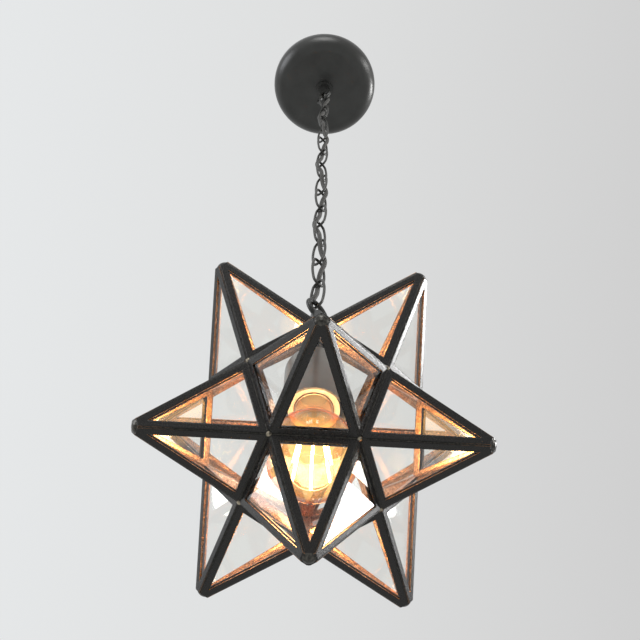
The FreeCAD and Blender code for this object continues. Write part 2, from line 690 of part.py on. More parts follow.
def plate(low_outline, low, high_outline, high):
    """Flat-sided solid between two outlines whose sides are parallel in pairs."""
    bottom = [Vector(x, y, low) for x, y in low_outline]
    top = [Vector(x, y, high) for x, y in high_outline]
    faces = [Part.Face(Part.makePolygon(ring + ring[:1])) for ring in (bottom, top)]
    for index in range(len(bottom)):
        ring = [bottom[index - 1], bottom[index], top[index], top[index - 1]]
        faces.append(Part.Face(Part.makePolygon(ring + ring[:1])))
    solid = Part.Solid(Part.Shell(faces))
    if solid.Volume < 0:
        solid.reverse()
    return solid


def pane_frame(cut_depth, gap=0.0):
    """Channel frame of one pane, mitred against its neighbours; +Z is the outside."""
    half = number("size.frame_thickness / 2")
    groove = number("size.frame_groove")
    flange = number("size.frame_flange")
    lap = number("size.glass_lap + size.glass_play")
    corner = -number("size.corner_cut")
    slot_half = number("size.glass_thickness / 2 + size.glass_play")
    slope = math.tan(MITRE)

    def level(height, leg):
        tip = (cut_depth + height * math.sin(LEAN)) / math.cos(LEAN)
        return pane_outline(leg, -height * slope - gap, tip, corner)

    knee = groove / slope
    inner = plate(level(-half, -half * slope), -half, level(knee, groove), knee)
    outer = plate(level(knee, groove), knee, level(half, groove), half)
    window_leg = groove - flange
    window_base = -half * slope - flange
    blunt = cut_depth / math.cos(LEAN)
    point = -window_leg / math.sin(TIP_HALF)
    window_tip = blunt + flange if blunt + flange > point else None
    window = pane_outline(window_leg, window_base, window_tip)
    slot = pane_outline(window_leg + lap, window_base + lap, glass_tip(cut_depth, window_tip) -
                        number("size.glass_play"))
    hole = plate(window, -2 * half, window, 2 * half)
    channel = plate(slot, -slot_half, slot, slot_half)
    return inner.fuse(outer).cut(hole).cut(channel).removeSplitter()


def glass_tip(cut_depth, window_tip):
    """Distance from the true tip to a pane's blunt upper edge."""
    blunt = cut_depth / math.cos(LEAN)
    if window_tip is None:
        return blunt + number("size.tip_wall")
    return window_tip - number("size.glass_lap")


def pane_glass(cut_depth):
    half = number("size.frame_thickness / 2")
    flange = number("size.frame_flange")
    lap = number("size.glass_lap")
    groove = number("size.frame_groove")
    blunt = cut_depth / math.cos(LEAN)
    window_tip = blunt + flange if blunt + flange > (flange - groove) / math.sin(TIP_HALF) else None
    outline = pane_outline(groove - flange + lap, -half * math.tan(MITRE) - flange + lap,
                           glass_tip(cut_depth, window_tip))
    thick = number("size.glass_thickness / 2")
    return plate(outline, -thick, outline, thick)


def ring_tips(azimuth, height):
    """Five point directions at one height, the first at the given azimuth."""
    radius = math.sqrt(1 - height ** 2)
    return [around(radius, azimuth + STAR_TURN * count, height) for count in range(POINT_SIDES)]


RING_HEIGHT = 1 / math.sqrt(5)
UPPER_TIPS = ring_tips(DOOR_AZIMUTH, RING_HEIGHT)
LOWER_TIPS = ring_tips(DOOR_AZIMUTH + 180, -RING_HEIGHT)
BOTTOM = TOP * -1
ALL_TIPS = [TOP, BOTTOM] + UPPER_TIPS + LOWER_TIPS
NEIGHBOUR_COSINE = RING_HEIGHT


def neighbours(tip):
    """The five point directions next to a point, in order round it."""
    near = [other for other in ALL_TIPS if abs(other.dot(tip) - NEIGHBOUR_COSINE) < 0.01]
    side = tip.cross(near[0]).normalize()
    front = side.cross(tip)
    return sorted(near, key=lambda other: math.atan2(other.dot(side), other.dot(front)))


def core_radius():
    """Star centre to an inner corner, in the panes' middle plane."""
    edge = number("size.tip_radius") / (POINT_RATIO + CORE_RATIO)
    return edge * GOLDEN * math.sqrt(3) / 2


def pane_places(tip):
    """Placements of a point's five panes: origin at the true tip, y down the pane, +Z outside."""
    ring = neighbours(tip)
    places = []
    for index, facing in enumerate(ring):
        before, after = ring[index - 1], ring[(index + 1) % len(ring)]
        corners = [(tip + facing + other).normalize() * core_radius() for other in (before, after)]
        peak = tip * number("size.tip_radius")
        down = ((corners[0] + corners[1]) * 0.5 - peak).normalize()
        across = (corners[1] - corners[0]).normalize()
        outside = across.cross(down)
        if outside.dot(tip) < 0:
            across, outside = across * -1, outside * -1
        places.append(Placement(peak, Rotation(across, down, outside, "XYZ")))
    return places


def placed_copies(shape, places):
    copies = []
    for spot in places:
        copy = shape.copy()
        copy.Placement = spot
        copies.append(copy)
    return copies


def star_node(label, shapes):
    """Node of separate solids laid out round the star's centre."""
    feature = doc.addObject("Part::Feature", label)
    feature.Shape = Part.makeCompound(shapes)
    return node(feature, label, "place.star")


def solder_bead():
    radius = number("size.bead_radius")
    height = number("size.bead_height")
    ball = (radius ** 2 + height ** 2) / (2 * height)
    base = number("size.tip_radius - size.tip_cut")
    sphere = Part.makeSphere(ball, Vector(0, 0, base + height - ball))
    return sphere.common(Part.makeCylinder(ball, 2 * ball, Vector(0, 0, base)))


def make_points():
    """Twelve points: sixty framed panes, and a solder bead on each blunt tip."""
    regular = pane_frame(number("size.tip_cut"))
    cut_off = pane_frame(number("size.top_cut"))
    door = pane_frame(number("size.tip_cut"), number("size.door_gap"))
    glass = pane_glass(number("size.tip_cut"))
    top_glass = pane_glass(number("size.top_cut"))
    door_tip = UPPER_TIPS[0]
    star_node("top_point_frames", placed_copies(cut_off, pane_places(TOP)))
    star_node("bottom_point_frames", placed_copies(regular, pane_places(BOTTOM)))
    for count, tip in enumerate(UPPER_TIPS[1:], start=1):
        star_node(f"upper_point_frames_{count}", placed_copies(regular, pane_places(tip)))
    for count, tip in enumerate(LOWER_TIPS, start=1):
        star_node(f"lower_point_frames_{count}", placed_copies(regular, pane_places(tip)))
    star_node("door_frames", placed_copies(door, pane_places(door_tip)))
    star_node("top_point_glass", placed_copies(top_glass, pane_places(TOP)))
    fixed_tips = [BOTTOM] + UPPER_TIPS[1:] + LOWER_TIPS
    panes = [pane for tip in fixed_tips for pane in placed_copies(glass, pane_places(tip))]
    star_node("star_glass", panes)
    star_node("door_glass", placed_copies(glass, pane_places(door_tip)))
    bead = solder_bead()
    star_node("tip_beads", [bead_on(bead, tip) for tip in fixed_tips])
    star_node("door_tip_bead", [bead_on(bead, door_tip)])


def bead_on(bead, tip):
    copy = bead.copy()
    copy.Placement = Placement(Vector(), Rotation(TOP, tip))
    return copy


def make_hinge():
    """Tube-and-pin hinge in the valley between the door point and the top point."""
    valley = (TOP + UPPER_TIPS[0]).normalize()
    side = TOP.cross(UPPER_TIPS[0]).normalize()
    towards_door = valley.cross(side)
    if towards_door.dot(UPPER_TIPS[0]) < 0:
        side, towards_door = side * -1, towards_door * -1
    edge = number("size.tip_radius") / (POINT_RATIO + CORE_RATIO)
    valley_radius = edge * GOLDEN ** 2 / 2
    stand = number("size.frame_thickness / 2 + size.hinge_tube_radius + size.hinge_clearance")
    axis_point = valley * (valley_radius + stand / math.cos(MITRE))
    frame = Placement(axis_point, Rotation(side, towards_door, valley, "XYZ"))
    length = number("size.hinge_tube_length")
    step = length + number("size.hinge_tube_gap")
    pin_radius = number("size.hinge_pin_radius")
    outer = number("size.hinge_tube_radius")
    bore = pin_radius + number("size.thread_play")
    foot_width = number("size.hinge_foot_width")
    foot_thickness = number("size.hinge_foot_thickness")
    seat = outer + number("size.hinge_clearance")

    def tube(middle, towards):
        """Tube on the pin's axis with a foot soldered flat on the frame beside it."""
        start = Vector(middle - length / 2, 0, 0)
        barrel = Part.makeCylinder(outer, length, start, Vector(1, 0, 0))
        foot = Part.makeBox(length, foot_width, foot_thickness, Vector(start.x, 0, -seat))
        tilt = Rotation(Vector(1, 0, 0), math.degrees(MITRE))
        foot.Placement = Placement(Vector(), tilt)
        if towards < 0:
            foot = foot.mirror(Vector(), Vector(0, 1, 0))
        hole = Part.makeCylinder(bore, 4 * length, Vector(-2 * length, 0, 0), Vector(1, 0, 0))
        return barrel.fuse(foot).cut(hole).removeSplitter()

    def placed(shape):
        shape = shape.copy()
        shape.Placement = frame
        return shape

    star_node("door_hinge_star_tubes", [placed(tube(-step, -1)), placed(tube(step, -1))])
    star_node("door_hinge_door_tube", [placed(tube(0.0, 1))])
    reach = step + length / 2 + number("size.hinge_tube_gap")
    head = number("size.pin_head_length")
    along = Vector(1, 0, 0)
    pin = Part.makeCylinder(pin_radius, 2 * reach, Vector(-reach, 0, 0), along)
    for start in (-reach - head, reach):
        knob = Part.makeCylinder(number("size.pin_head_radius"), head, Vector(start, 0, 0), along)
        pin = pin.fuse(knob)
    star_node("door_hinge_pin", [placed(pin.removeSplitter())])
    print("hinge axis", [round(value, 4) for value in axis_point], [round(value, 5) for value in side])


# ---------------------------------------------------------------- star top and lampholder

def make_star_top():
    hole = "size.tube_radius + size.hole_play"
    cap = turned_body("top_cap", [
        (hole, "0"),
        ("size.cap_radius", "0"),
        ("size.cap_radius", "size.cap_rim"),
        ("size.cap_shoulder_radius", "size.cap_height", "size.cap_curve", 1),
        (hole, "size.cap_height"),
    ])
    node(cap, "top_cap", "place.star + place.cap_base")
    hanging_loop("star_loop", "size.star_loop_rise", LINK_TURN, "place.star + place.loop_base")
    threaded_tube("stem_tube", "place.tube_end", "place.loop_base + size.thread_length", "place.star")
    heights = ["place.cap_base - size.inner_nut_depth - size.nut_thickness", "place.cup_top",
               "place.cup_top - size.cup_wall - size.nut_thickness"]
    nuts = [lock_nut(f"stem_nut_{count}", height) for count, height in enumerate(heights, start=1)]
    node(group("stem_lock_nuts", nuts), "stem_lock_nuts", "place.star")


def make_lampholder():
    hole = "size.tube_radius + size.hole_play"
    corner = "size.cup_radius - size.cup_corner"
    shoulder = "place.cup_top - size.cup_corner"
    inside = "size.cup_radius - size.cup_wall"
    ceiling = "place.cup_top - size.cup_wall"
    cup = turned_body("socket_cup", [
        (hole, "place.cup_top"),
        (corner, "place.cup_top"),
        ("size.cup_radius", shoulder, "size.cup_corner", -1),
        ("size.cup_radius", "place.cup_mouth"),
        (inside, "place.cup_mouth"),
        (inside, shoulder),
        (corner, ceiling, "size.cup_corner - size.cup_wall", 1),
        (hole, ceiling),
    ])
    node(cup, "socket_cup", "place.star")
    bore = "place.shell_radius + size.thread_play"
    thread = "size.tube_radius + size.thread_play"
    neck_foot = "place.holder_top - size.holder_neck_length"
    rivet = "size.rivet_radius + size.thread_play"
    holder = turned_body("lampholder", [
        (bore, "place.holder_mouth"),
        ("size.holder_radius", "place.holder_mouth"),
        ("size.holder_radius", neck_foot),
        ("size.holder_neck_radius", neck_foot),
        ("size.holder_neck_radius", "place.holder_top"),
        (thread, "place.holder_top"),
        (thread, "place.tube_end"),
        ("size.wiring_radius", "place.tube_end"),
        ("size.wiring_radius", "place.wiring_floor"),
        (rivet, "place.wiring_floor"),
        (rivet, "place.holder_seat"),
        (bore, "place.holder_seat"),
    ])
    node(holder, "lampholder", "place.star")
    shell_bottom = "place.holder_mouth + size.shell_setback"
    shell = primitive("Part::Cylinder", "shell_outside", shell_bottom,
                      Radius="place.shell_radius", Height="size.shell_length")
    shell_bore = primitive("Part::Cylinder", "shell_bore", shell_bottom,
                           Radius="place.shell_radius - size.shell_wall", Height="size.shell_length")
    node(cut("screw_shell", shell, shell_bore), "screw_shell", "place.star")
    disc = primitive("Part::Cylinder", "contact_disc", "place.holder_seat - size.contact_thickness",
                     Radius="size.contact_radius", Height="size.contact_thickness")
    rivet_pin = primitive("Part::Cylinder", "contact_rivet", "place.holder_seat",
                          Radius="size.rivet_radius", Height="size.holder_floor + size.rivet_proud")
    node(fuse("centre_contact", [disc, rivet_pin]), "centre_contact", "place.star")


# ---------------------------------------------------------------- bulb

def make_bulb():
    """Filament bulb, cap up; its own zero is the contact button's top."""
    height = "place.star + place.bulb"
    glass_top = "place.cap_skirt + size.bulb_neck_grip"
    inner = "(size.bulb_radius - size.bulb_glass)"
    inner_neck = "size.bulb_neck_radius - size.bulb_glass"
    glass = turned_body("bulb_glass", [
        ("0", "-size.bulb_length"),
        ("size.bulb_radius * place.neck_cosine", "place.globe + size.bulb_radius * place.neck_sine",
         "size.bulb_radius", 1),
        ("size.bulb_neck_radius", "place.neck_top", "place.neck_curve", -1),
        ("size.bulb_neck_radius", glass_top),
        (inner_neck, glass_top),
        (inner_neck, "place.neck_top"),
        (f"{inner} * place.neck_cosine", f"place.globe + {inner} * place.neck_sine",
         "place.neck_curve + size.bulb_glass", 1),
        ("0", "-size.bulb_length + size.bulb_glass", inner, -1),
    ])
    node(glass, "bulb_glass", height)
    cone_foot = "-size.bulb_cap_top - size.bulb_cap_cone"
    inner_cap = "size.bulb_cap_radius - size.bulb_cap_wall"
    mouth = "size.bulb_cap_mouth"
    cap = turned_body("bulb_cap", [
        (inner_cap, "place.cap_skirt"),
        ("size.bulb_cap_radius", "place.cap_skirt"),
        ("size.bulb_cap_radius", cone_foot),
        (mouth + " + size.bulb_cap_wall", "-size.bulb_cap_top"),
        (mouth, "-size.bulb_cap_top"),
        (mouth, "-size.bulb_cap_top - size.bulb_cap_wall"),
        (inner_cap, cone_foot + " - size.bulb_cap_wall"),
    ])
    node(cap, "bulb_cap", height)
    plug = mouth + " - size.thread_play"
    base = turned_body("bulb_base", [
        ("0", cone_foot),
        (plug, cone_foot),
        (plug, "-size.bulb_cap_top"),
        ("size.button_radius", "-size.button_height"),
        ("0", "-size.button_height"),
    ])
    node(base, "bulb_base", height)
    button = primitive("Part::Cylinder", "bulb_button", "-size.button_height",
                       Radius="size.button_radius", Height="size.button_height")
    node(group("bulb_contact", [button]), "bulb_contact", height)
    make_bulb_inside(height, inner_neck, glass_top)


def make_bulb_inside(height, inner_neck, glass_top):
    flare = f"{inner_neck} - size.thread_play"
    flare_foot = f"{glass_top} - size.bulb_glass"
    low = "place.globe - size.filament_length / 2"
    top = "place.globe + size.filament_length / 2"
    tip = f"{top} - size.stem_proud"
    press = f"{tip} + 2 * size.stem_flare"
    stem = turned_body("bulb_stem", [
        ("0", glass_top),
        (flare, glass_top),
        (flare, flare_foot),
        ("size.stem_radius", f"{flare_foot} - size.stem_flare"),
        ("size.stem_radius", press),
        ("size.stem_tip_radius", f"{tip} + size.stem_flare"),
        ("size.stem_tip_radius", tip),
        ("0", tip),
    ])
    node(stem, "bulb_stem", height)
    count = int(number("size.filament_count"))
    rods = []
    spokes = [primitive("Part::Cylinder", "wire_hub", top,
                        Radius="size.stem_tip_radius + 2 * size.filament_wire",
                        Height="2 * size.filament_wire")]
    for index in range(count):
        azimuth = 360.0 * (index + 0.5) / count
        rod = primitive("Part::Cylinder", f"filament_{index + 1}", low,
                        Radius="size.filament_radius", Height="size.filament_length")
        rod.setExpression("Placement.Base.x", f"size.filament_foot_circle * cos({azimuth}deg)")
        rod.setExpression("Placement.Base.y", f"size.filament_foot_circle * sin({azimuth}deg)")
        rod.Placement.Rotation = Rotation(around(1, azimuth - 90, 0), 1)
        rod.setExpression("Placement.Rotation.Angle", "place.filament_lean")
        rods.append(rod)
        spoke = primitive("Part::Cylinder", f"spoke_{index + 1}", f"{top} + size.filament_wire",
                          Radius="size.filament_wire", Height="size.filament_top_circle")
        spoke.Placement.Rotation = Rotation(TOP, around(1, azimuth, 0))
        spokes.append(spoke)
    node(group("filaments", rods), "filaments", height)
    ring = primitive("Part::Torus", "wire_ring", f"{low} - size.filament_wire - place.filament_dip",
                     Radius1="size.filament_foot_circle", Radius2="size.filament_wire")
    spider = cut("wire_spider", fuse("wire_spokes", spokes),
                 primitive("Part::Cylinder", "wire_bore", f"{top} - size.filament_wire",
                           Radius="size.stem_tip_radius + size.thread_play",
                           Height="4 * size.filament_wire"))
    node(group("filament_wires", [spider, ring]), "filament_wires", height)


# ---------------------------------------------------------------- build and write

def check_everything():
    doc.recompute()
    for piece in doc.Objects:
        if "Invalid" in piece.State or "Error" in piece.State:
            raise RuntimeError(f"{piece.Name} failed: {piece.State}")
    labels = [piece.Label for piece in nodes]
    if len(labels) != len(set(labels)):
        raise RuntimeError("two nodes share a label")
    for piece in nodes:
        if piece.Shape.isNull() or not piece.Shape.isValid() or not piece.Shape.Solids:
            raise RuntimeError(f"{piece.Label} has no valid solid")


def write_parts():
    os.makedirs("parts", exist_ok=True)
    for piece in nodes:
        piece.Shape.exportStep(f"parts/{piece.Label}.step")
        box = piece.Shape.BoundBox
        print(f"{piece.Label:24s} solids {len(piece.Shape.Solids):3d} volume {piece.Shape.Volume:10.1f}"
              f"  z {box.ZMin:8.2f} {box.ZMax:8.2f}")


def main():
    derive_places()
    make_canopy()
    make_crossbar()
    make_ground_screw()
    make_canopy_tube_and_nuts()
    hanging_loop("canopy_loop", "size.canopy_loop_drop", LINK_TURN, "-size.canopy_depth",
                 Rotation(Vector(1, 0, 0), 180))
    make_leads_and_connectors()
    for count in range(1, int(number("size.link_count")) + 1):
        make_link(count)
    make_cord()
    make_star_top()
    make_lampholder()
    make_bulb()
    make_points()
    make_hinge()
    check_everything()
    write_parts()


main()
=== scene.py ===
"""Moravian star pendant, dressed: glass star, oval chain with its cord, and ceiling canopy."""
import math
from itertools import combinations

import bmesh
import bpy
from mathutils import Matrix, Quaternion, Vector


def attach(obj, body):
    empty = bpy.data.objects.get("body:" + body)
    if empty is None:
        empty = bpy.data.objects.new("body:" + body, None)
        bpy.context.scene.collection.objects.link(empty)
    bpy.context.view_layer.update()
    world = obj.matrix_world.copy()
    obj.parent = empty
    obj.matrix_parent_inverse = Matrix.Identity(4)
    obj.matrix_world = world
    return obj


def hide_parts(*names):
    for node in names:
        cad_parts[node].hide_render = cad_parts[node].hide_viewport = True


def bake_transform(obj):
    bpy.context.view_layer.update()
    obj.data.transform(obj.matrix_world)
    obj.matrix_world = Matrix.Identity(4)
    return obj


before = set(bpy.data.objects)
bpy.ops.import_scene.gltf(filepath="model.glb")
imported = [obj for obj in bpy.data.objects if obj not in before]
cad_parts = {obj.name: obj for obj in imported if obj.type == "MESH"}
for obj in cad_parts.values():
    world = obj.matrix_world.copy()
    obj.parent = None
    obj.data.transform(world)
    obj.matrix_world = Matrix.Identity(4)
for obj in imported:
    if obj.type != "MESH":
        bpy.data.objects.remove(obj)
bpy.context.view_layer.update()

MM = 0.001

# ---------------------------------------------------------------- sizes shared with the solids
GOLDEN = (1 + math.sqrt(5)) / 2
# over the length of a base edge: a point's height, and its base's distance from the centre
POINT_RATIO = math.sqrt(GOLDEN ** 2 - 1 / (4 * math.sin(math.radians(36)) ** 2))
CORE_RATIO = math.sqrt(250 + 110 * math.sqrt(5)) / 20
CORE_ANGLE = 116.565  # degrees between two faces of the core
MITRE = math.radians(90 - CORE_ANGLE / 2)
TIP_RADIUS = 129 * MM
STAR_HEIGHT = -846.54 * MM
PANE_FRAME = 3.5 * MM
TIP_CUT = 5 * MM
TOP_CUT = 15 * MM

LINK_COUNT = 14
LINK_TURN = 45
FIRST_LINK = -91.17 * MM
LINK_PITCH = 42.4 * MM
HALF_LINK = 22.43 * MM
LINK_HALF_WIDTH = 7.3 * MM
LINK_END_RADIUS = 5.6 * MM
LINK_WIRE = 2.4 * MM

CORD_RADIUS = 2.1 * MM
CORD_TOP = -10 * MM
CANOPY_EYE = -62 * MM
STAR_EYE = -671.54 * MM
TURN_ASIDE = 5.5 * MM
CORD_END = -786.54 * MM
JOINT_DROP = 21.2 * MM
EYE_OFFSET = 7.0 * MM
JOINT_OFFSET = 6.6 * MM
MIDDLE_OFFSET = 1.3 * MM

BULB_HEIGHT = -793.44 * MM
FILAMENT_COUNT = 6
FILAMENT_RADIUS = 0.9 * MM
FILAMENT_FOOT = 13.5 * MM
FILAMENT_FOOT_DROP = 97 * MM
FILAMENT_TOP = 9 * MM
FILAMENT_LENGTH = 36 * MM

# profiles of the turned pieces, in millimetres
TUBE_HOLE = 5.1

CANOPY_RADIUS = 67
CANOPY_DEPTH = 24
CANOPY_SHOULDER = 20
CANOPY_WALL = 1

CUP_RADIUS = 21.5
CUP_TOP = 80
CUP_CORNER = 5
CUP_WALL = 0.8
CUP_SIDE_END = 22.4
CUP_LIP = (21.3, 21.2)
CUP_LIP_RADIUS = 0.7
CUP_MOUTH = 20.2

CAP_RADIUS = 13.5
CAP_CHAMFER = 0.3
CAP_RIM = 2.2
CAP_CURVE = 24.0
CAP_CURVE_END = 35  # degrees
CAP_FLAT = 8.6
CAP_HEIGHT = 16

GLOBE_RADIUS = 30
GLOBE_MIDDLE = -79.0
GLOBE_WALL = 0.8
GLOBE_SHOULDER = 38  # degrees above the globe's middle where the neck's curve begins
NECK_RADIUS = 12.4
NECK_TOP = -22.1

# ---------------------------------------------------------------- values used by the looks alone
SEAM_RADIUS = 0.5 * MM
SEAM_LIFT = 1.15 * MM
SEAM_TIP_GAP = 1.0 * MM
SEAM_CORNER_GAP = 1.5 * MM
VALLEY_RADIUS = 0.7 * MM
VALLEY_END_GAP = 1.2 * MM
SEAM_SWAY = 0.08 * MM
JOINT_RADIUS = 1.9 * MM
JOINT_LIFT = 0.9 * MM
JOINT_UNEVENNESS = 1.6 * MM
SMOOTH_BELOW = math.radians(35)
# how much stronger the painted glow of the bulb's glass is when seen by reflection: a painted
# reflection of the bulb in the panes
PAINTED_REFLECTION_GAIN = 6

STAR = Vector((0, 0, STAR_HEIGHT))
UP = Vector((0, 0, 1))


# ---------------------------------------------------------------- materials

def srgb(code):
    """Linear colour of an sRGB hex code such as "2e2e2b", with full alpha."""
    channels = [int(code[index:index + 2], 16) / 255 for index in (0, 2, 4)]
    linear = [c / 12.92 if c <= 0.04045 else ((c + 0.055) / 1.055) ** 2.4 for c in channels]
    return (*linear, 1.0)


def add(tree, kind, settings=None, **links):
    """Add a node; settings are its properties or input values, and links go to its inputs.

    A link's key is an input's name, or n and the input's number.
    """
    node = tree.nodes.new(kind)
    for key, value in (settings or {}).items():
        if isinstance(key, int) or key in node.inputs:
            node.inputs[key].default_value = value
        else:
            setattr(node, key, value)
    for key, source in links.items():
        numbered = key[0] == "n" and key[1:].isdigit()
        tree.links.new(source, node.inputs[int(key[1:]) if numbered else key.replace("_", " ")])
    return node


def calculate(tree, operation, *inputs):
    """Output of a math node, whose inputs are numbers or the outputs of other nodes."""
    node = add(tree, "ShaderNodeMath", {"operation": operation})
    for socket, value in zip(node.inputs, inputs):
        if isinstance(value, (int, float)):
            socket.default_value = value
        else:
            tree.links.new(value, socket)
    return node.outputs[0]


def empty_material(name):
    """Material without nodes; returns the material and its tree."""
    material = bpy.data.materials.new(name)
    material.use_nodes = True
    material.node_tree.nodes.clear()
    return material, material.node_tree


def new_material(name):
    """Material with a Principled shader; returns the material, its tree and the shader."""
    material, tree = empty_material(name)
    shader = add(tree, "ShaderNodeBsdfPrincipled")
    add(tree, "ShaderNodeOutputMaterial", Surface=shader.outputs[0])
    return material, tree, shader


def place_on_piece(tree):
    """The place in the piece's own space."""
    return add(tree, "ShaderNodeTexCoord").outputs["Object"]


def speckle(tree, size, detail=4.0):
    """Noise whose grains are about the given size in metres."""
    return add(tree, "ShaderNodeTexNoise", {"Scale": 1 / size, "Detail": detail},
               Vector=place_on_piece(tree))


def tones(tree, factor, *stops):
    """Colour ramp over (position, hex colour) stops."""
    ramp = add(tree, "ShaderNodeValToRGB", Fac=factor)
    elements = ramp.color_ramp.elements
    while len(elements) < len(stops):
        elements.new(0.5)
    for element, (position, code) in zip(elements, stops):
        element.position = position
        element.color = srgb(code)
    return ramp.outputs["Color"]


def colour_between(tree, shader, factor, dark, light):
    """Colour a shader from dark to light over a pattern's middle range."""
    tree.links.new(tones(tree, factor, (0.3, dark), (0.7, light)), shader.inputs["Base Color"])


def level(tree, factor, low, high):
    """Stretch a pattern's middle range to low..high."""
    return add(tree, "ShaderNodeMapRange",
               {"From Min": 0.3, "From Max": 0.7, "To Min": low, "To Max": high},
               Value=factor).outputs[0]


def bump(tree, factor, height, strength=1.0, **links):
    """A shading normal that follows a pattern, whose full height is in metres."""
    return add(tree, "ShaderNodeBump", {"Distance": height, "Strength": strength},
               Height=factor, **links).outputs[0]


def painted_metal(name, light, dark, roughness, grain=0.9 * MM):
    """Satin paint over metal: faint orange peel and a slight drift in tone."""
    material, tree, shader = new_material(name)
    peel = speckle(tree, grain, 3.0)
    drift = speckle(tree, 24 * MM, 2.0)
    colour_between(tree, shader, drift.outputs[0], dark, light)
    tree.links.new(level(tree, peel.outputs[0], roughness - 0.06, roughness + 0.06),
                   shader.inputs["Roughness"])
    tree.links.new(bump(tree, peel.outputs[0], 0.03 * MM), shader.inputs["Normal"])
    shader.inputs["Metallic"].default_value = 0.35
    shader.inputs["Specular IOR Level"].default_value = 0.6
    return material


def patinated_channel():
    """Folded channel with a black patina outside; the faces turned inwards keep raw copper."""
    material, tree, shader = new_material("black_patina_copper_channel")
    coordinates = add(tree, "ShaderNodeTexCoord")
    from_centre = add(tree, "ShaderNodeVectorMath", {"operation": "SUBTRACT", 1: STAR},
                      n0=coordinates.outputs["Object"])
    outward = add(tree, "ShaderNodeVectorMath", {"operation": "NORMALIZE"},
                  n0=from_centre.outputs[0])
    facing = add(tree, "ShaderNodeVectorMath", {"operation": "DOT_PRODUCT"},
                 n0=coordinates.outputs["Normal"], n1=outward.outputs[0])
    # outer faces look outwards by at least 0.37; edges of the windows and inner faces by less
    blotch = speckle(tree, 2.2 * MM, 5.0)
    edge = calculate(tree, "MULTIPLY_ADD", blotch.outputs[0], 0.16, facing.outputs["Value"])
    outside = add(tree, "ShaderNodeMapRange", {"From Min": 0.34, "From Max": 0.42}, Value=edge)
    copper = tones(tree, blotch.outputs[0], (0.3, "967259"), (0.5, "bb9173"), (0.68, "d8b395"))
    fine = speckle(tree, 0.8 * MM, 4.0)
    patina = tones(tree, fine.outputs[0], (0.3, "141311"), (0.55, "1e1c1a"), (0.75, "2b2925"))
    mixed = add(tree, "ShaderNodeMix", {"data_type": "RGBA"}, n0=outside.outputs[0], n6=copper,
                n7=patina)
    tree.links.new(mixed.outputs[2], shader.inputs["Base Color"])
    tree.links.new(level(tree, fine.outputs[0], 0.22, 0.36), shader.inputs["Roughness"])
    # folded sheet has no sharp corner, so the light rolls over each edge
    rolled = add(tree, "ShaderNodeBevel", {"samples": 6, "Radius": 1.3 * MM})
    tree.links.new(bump(tree, blotch.outputs[0], 0.05 * MM, Normal=rolled.outputs[0]),
                   shader.inputs["Normal"])
    # the patina is an oxide skin, so it shines less like metal than the copper inside
    tree.links.new(level(tree, outside.outputs[0], 0.9, 0.5), shader.inputs["Metallic"])
    shader.inputs["Specular IOR Level"].default_value = 0.65
    return material


def tinned_solder(name, light, dark):
    """Solder drawn out by an iron: soft ripples and a dull bright skin."""
    material, tree, shader = new_material(name)
    ripple = speckle(tree, 1.6 * MM, 2.0)
    colour_between(tree, shader, ripple.outputs[0], dark, light)
    tree.links.new(bump(tree, ripple.outputs[0], 0.12 * MM), shader.inputs["Normal"])
    shader.inputs["Metallic"].default_value = 0.9
    shader.inputs["Roughness"].default_value = 0.3
    return material


def clear_glass(name, tint, edge_tint, haze, glow=None, painted_glow_strength=0.0):
    """Thin clear glass: light passes straight on, and each outer face reflects by its angle;
    given a glow colour, the glass also gets a painted glow.
    """
    material, tree = empty_material(name)
    facing = add(tree, "ShaderNodeLayerWeight", {"Blend": 0.5}).outputs["Facing"]
    colour = tones(tree, facing, (0.55, tint), (1.0, edge_tint))
    through = add(tree, "ShaderNodeBsdfTransparent", Color=colour)
    smear = speckle(tree, 38 * MM, 2.0)
    skin = add(tree, "ShaderNodeBsdfGlossy", {"Color": (1, 1, 1, 1), "Roughness": haze})
    tree.links.new(bump(tree, smear.outputs[0], 0.25 * MM, 0.4), skin.inputs["Normal"])
    # only faces turned to the ray reflect; the raised index stands for both faces of a pane
    edge = add(tree, "ShaderNodeFresnel", {"IOR": 1.65})
    back = add(tree, "ShaderNodeNewGeometry").outputs["Backfacing"]
    front = calculate(tree, "SUBTRACT", 1.0, back)
    share = calculate(tree, "MULTIPLY", edge.outputs[0], front)
    surface = add(tree, "ShaderNodeMixShader", n0=share, n1=through.outputs[0],
                  n2=skin.outputs[0])
    # painted glow: given a glow colour, the glass itself gives off light, most towards its
    # outline, standing in for the filaments' light scattered in the glass
    if glow:
        painted_edge_glow = calculate(tree, "POWER", calculate(tree, "SUBTRACT", 1.0, facing), 2.0)
        # painted reflection: rays that arrive by reflection see the glow six times as strong, so
        # the panes show a broad painted image of the lit bulb
        mirrored = add(tree, "ShaderNodeLightPath").outputs["Is Glossy Ray"]
        painted_glow_and_reflection = add(tree, "ShaderNodeMapRange",
                    {"To Min": painted_glow_strength, "To Max": painted_glow_strength * PAINTED_REFLECTION_GAIN},
                    Value=mirrored)
        strength = calculate(tree, "MULTIPLY", painted_edge_glow, painted_glow_and_reflection.outputs[0])
        light = add(tree, "ShaderNodeEmission", {"Color": srgb(glow)}, Strength=strength)
        surface = add(tree, "ShaderNodeAddShader", n0=surface.outputs[0], n1=light.outputs[0])
    add(tree, "ShaderNodeOutputMaterial", Surface=surface.outputs[0])
    return material


def glowing(name, colour, strength):
    """Hot filament rod: light without much surface."""
    material, tree, shader = new_material(name)
    grain = speckle(tree, 2.5 * MM, 2.0)
    tree.links.new(tones(tree, grain.outputs[0], (0.3, colour), (0.7, "fff4d6")),
                   shader.inputs["Emission Color"])
    shader.inputs["Base Color"].default_value = srgb(colour)
    shader.inputs["Emission Strength"].default_value = strength
    shader.inputs["Roughness"].default_value = 0.6
    return material


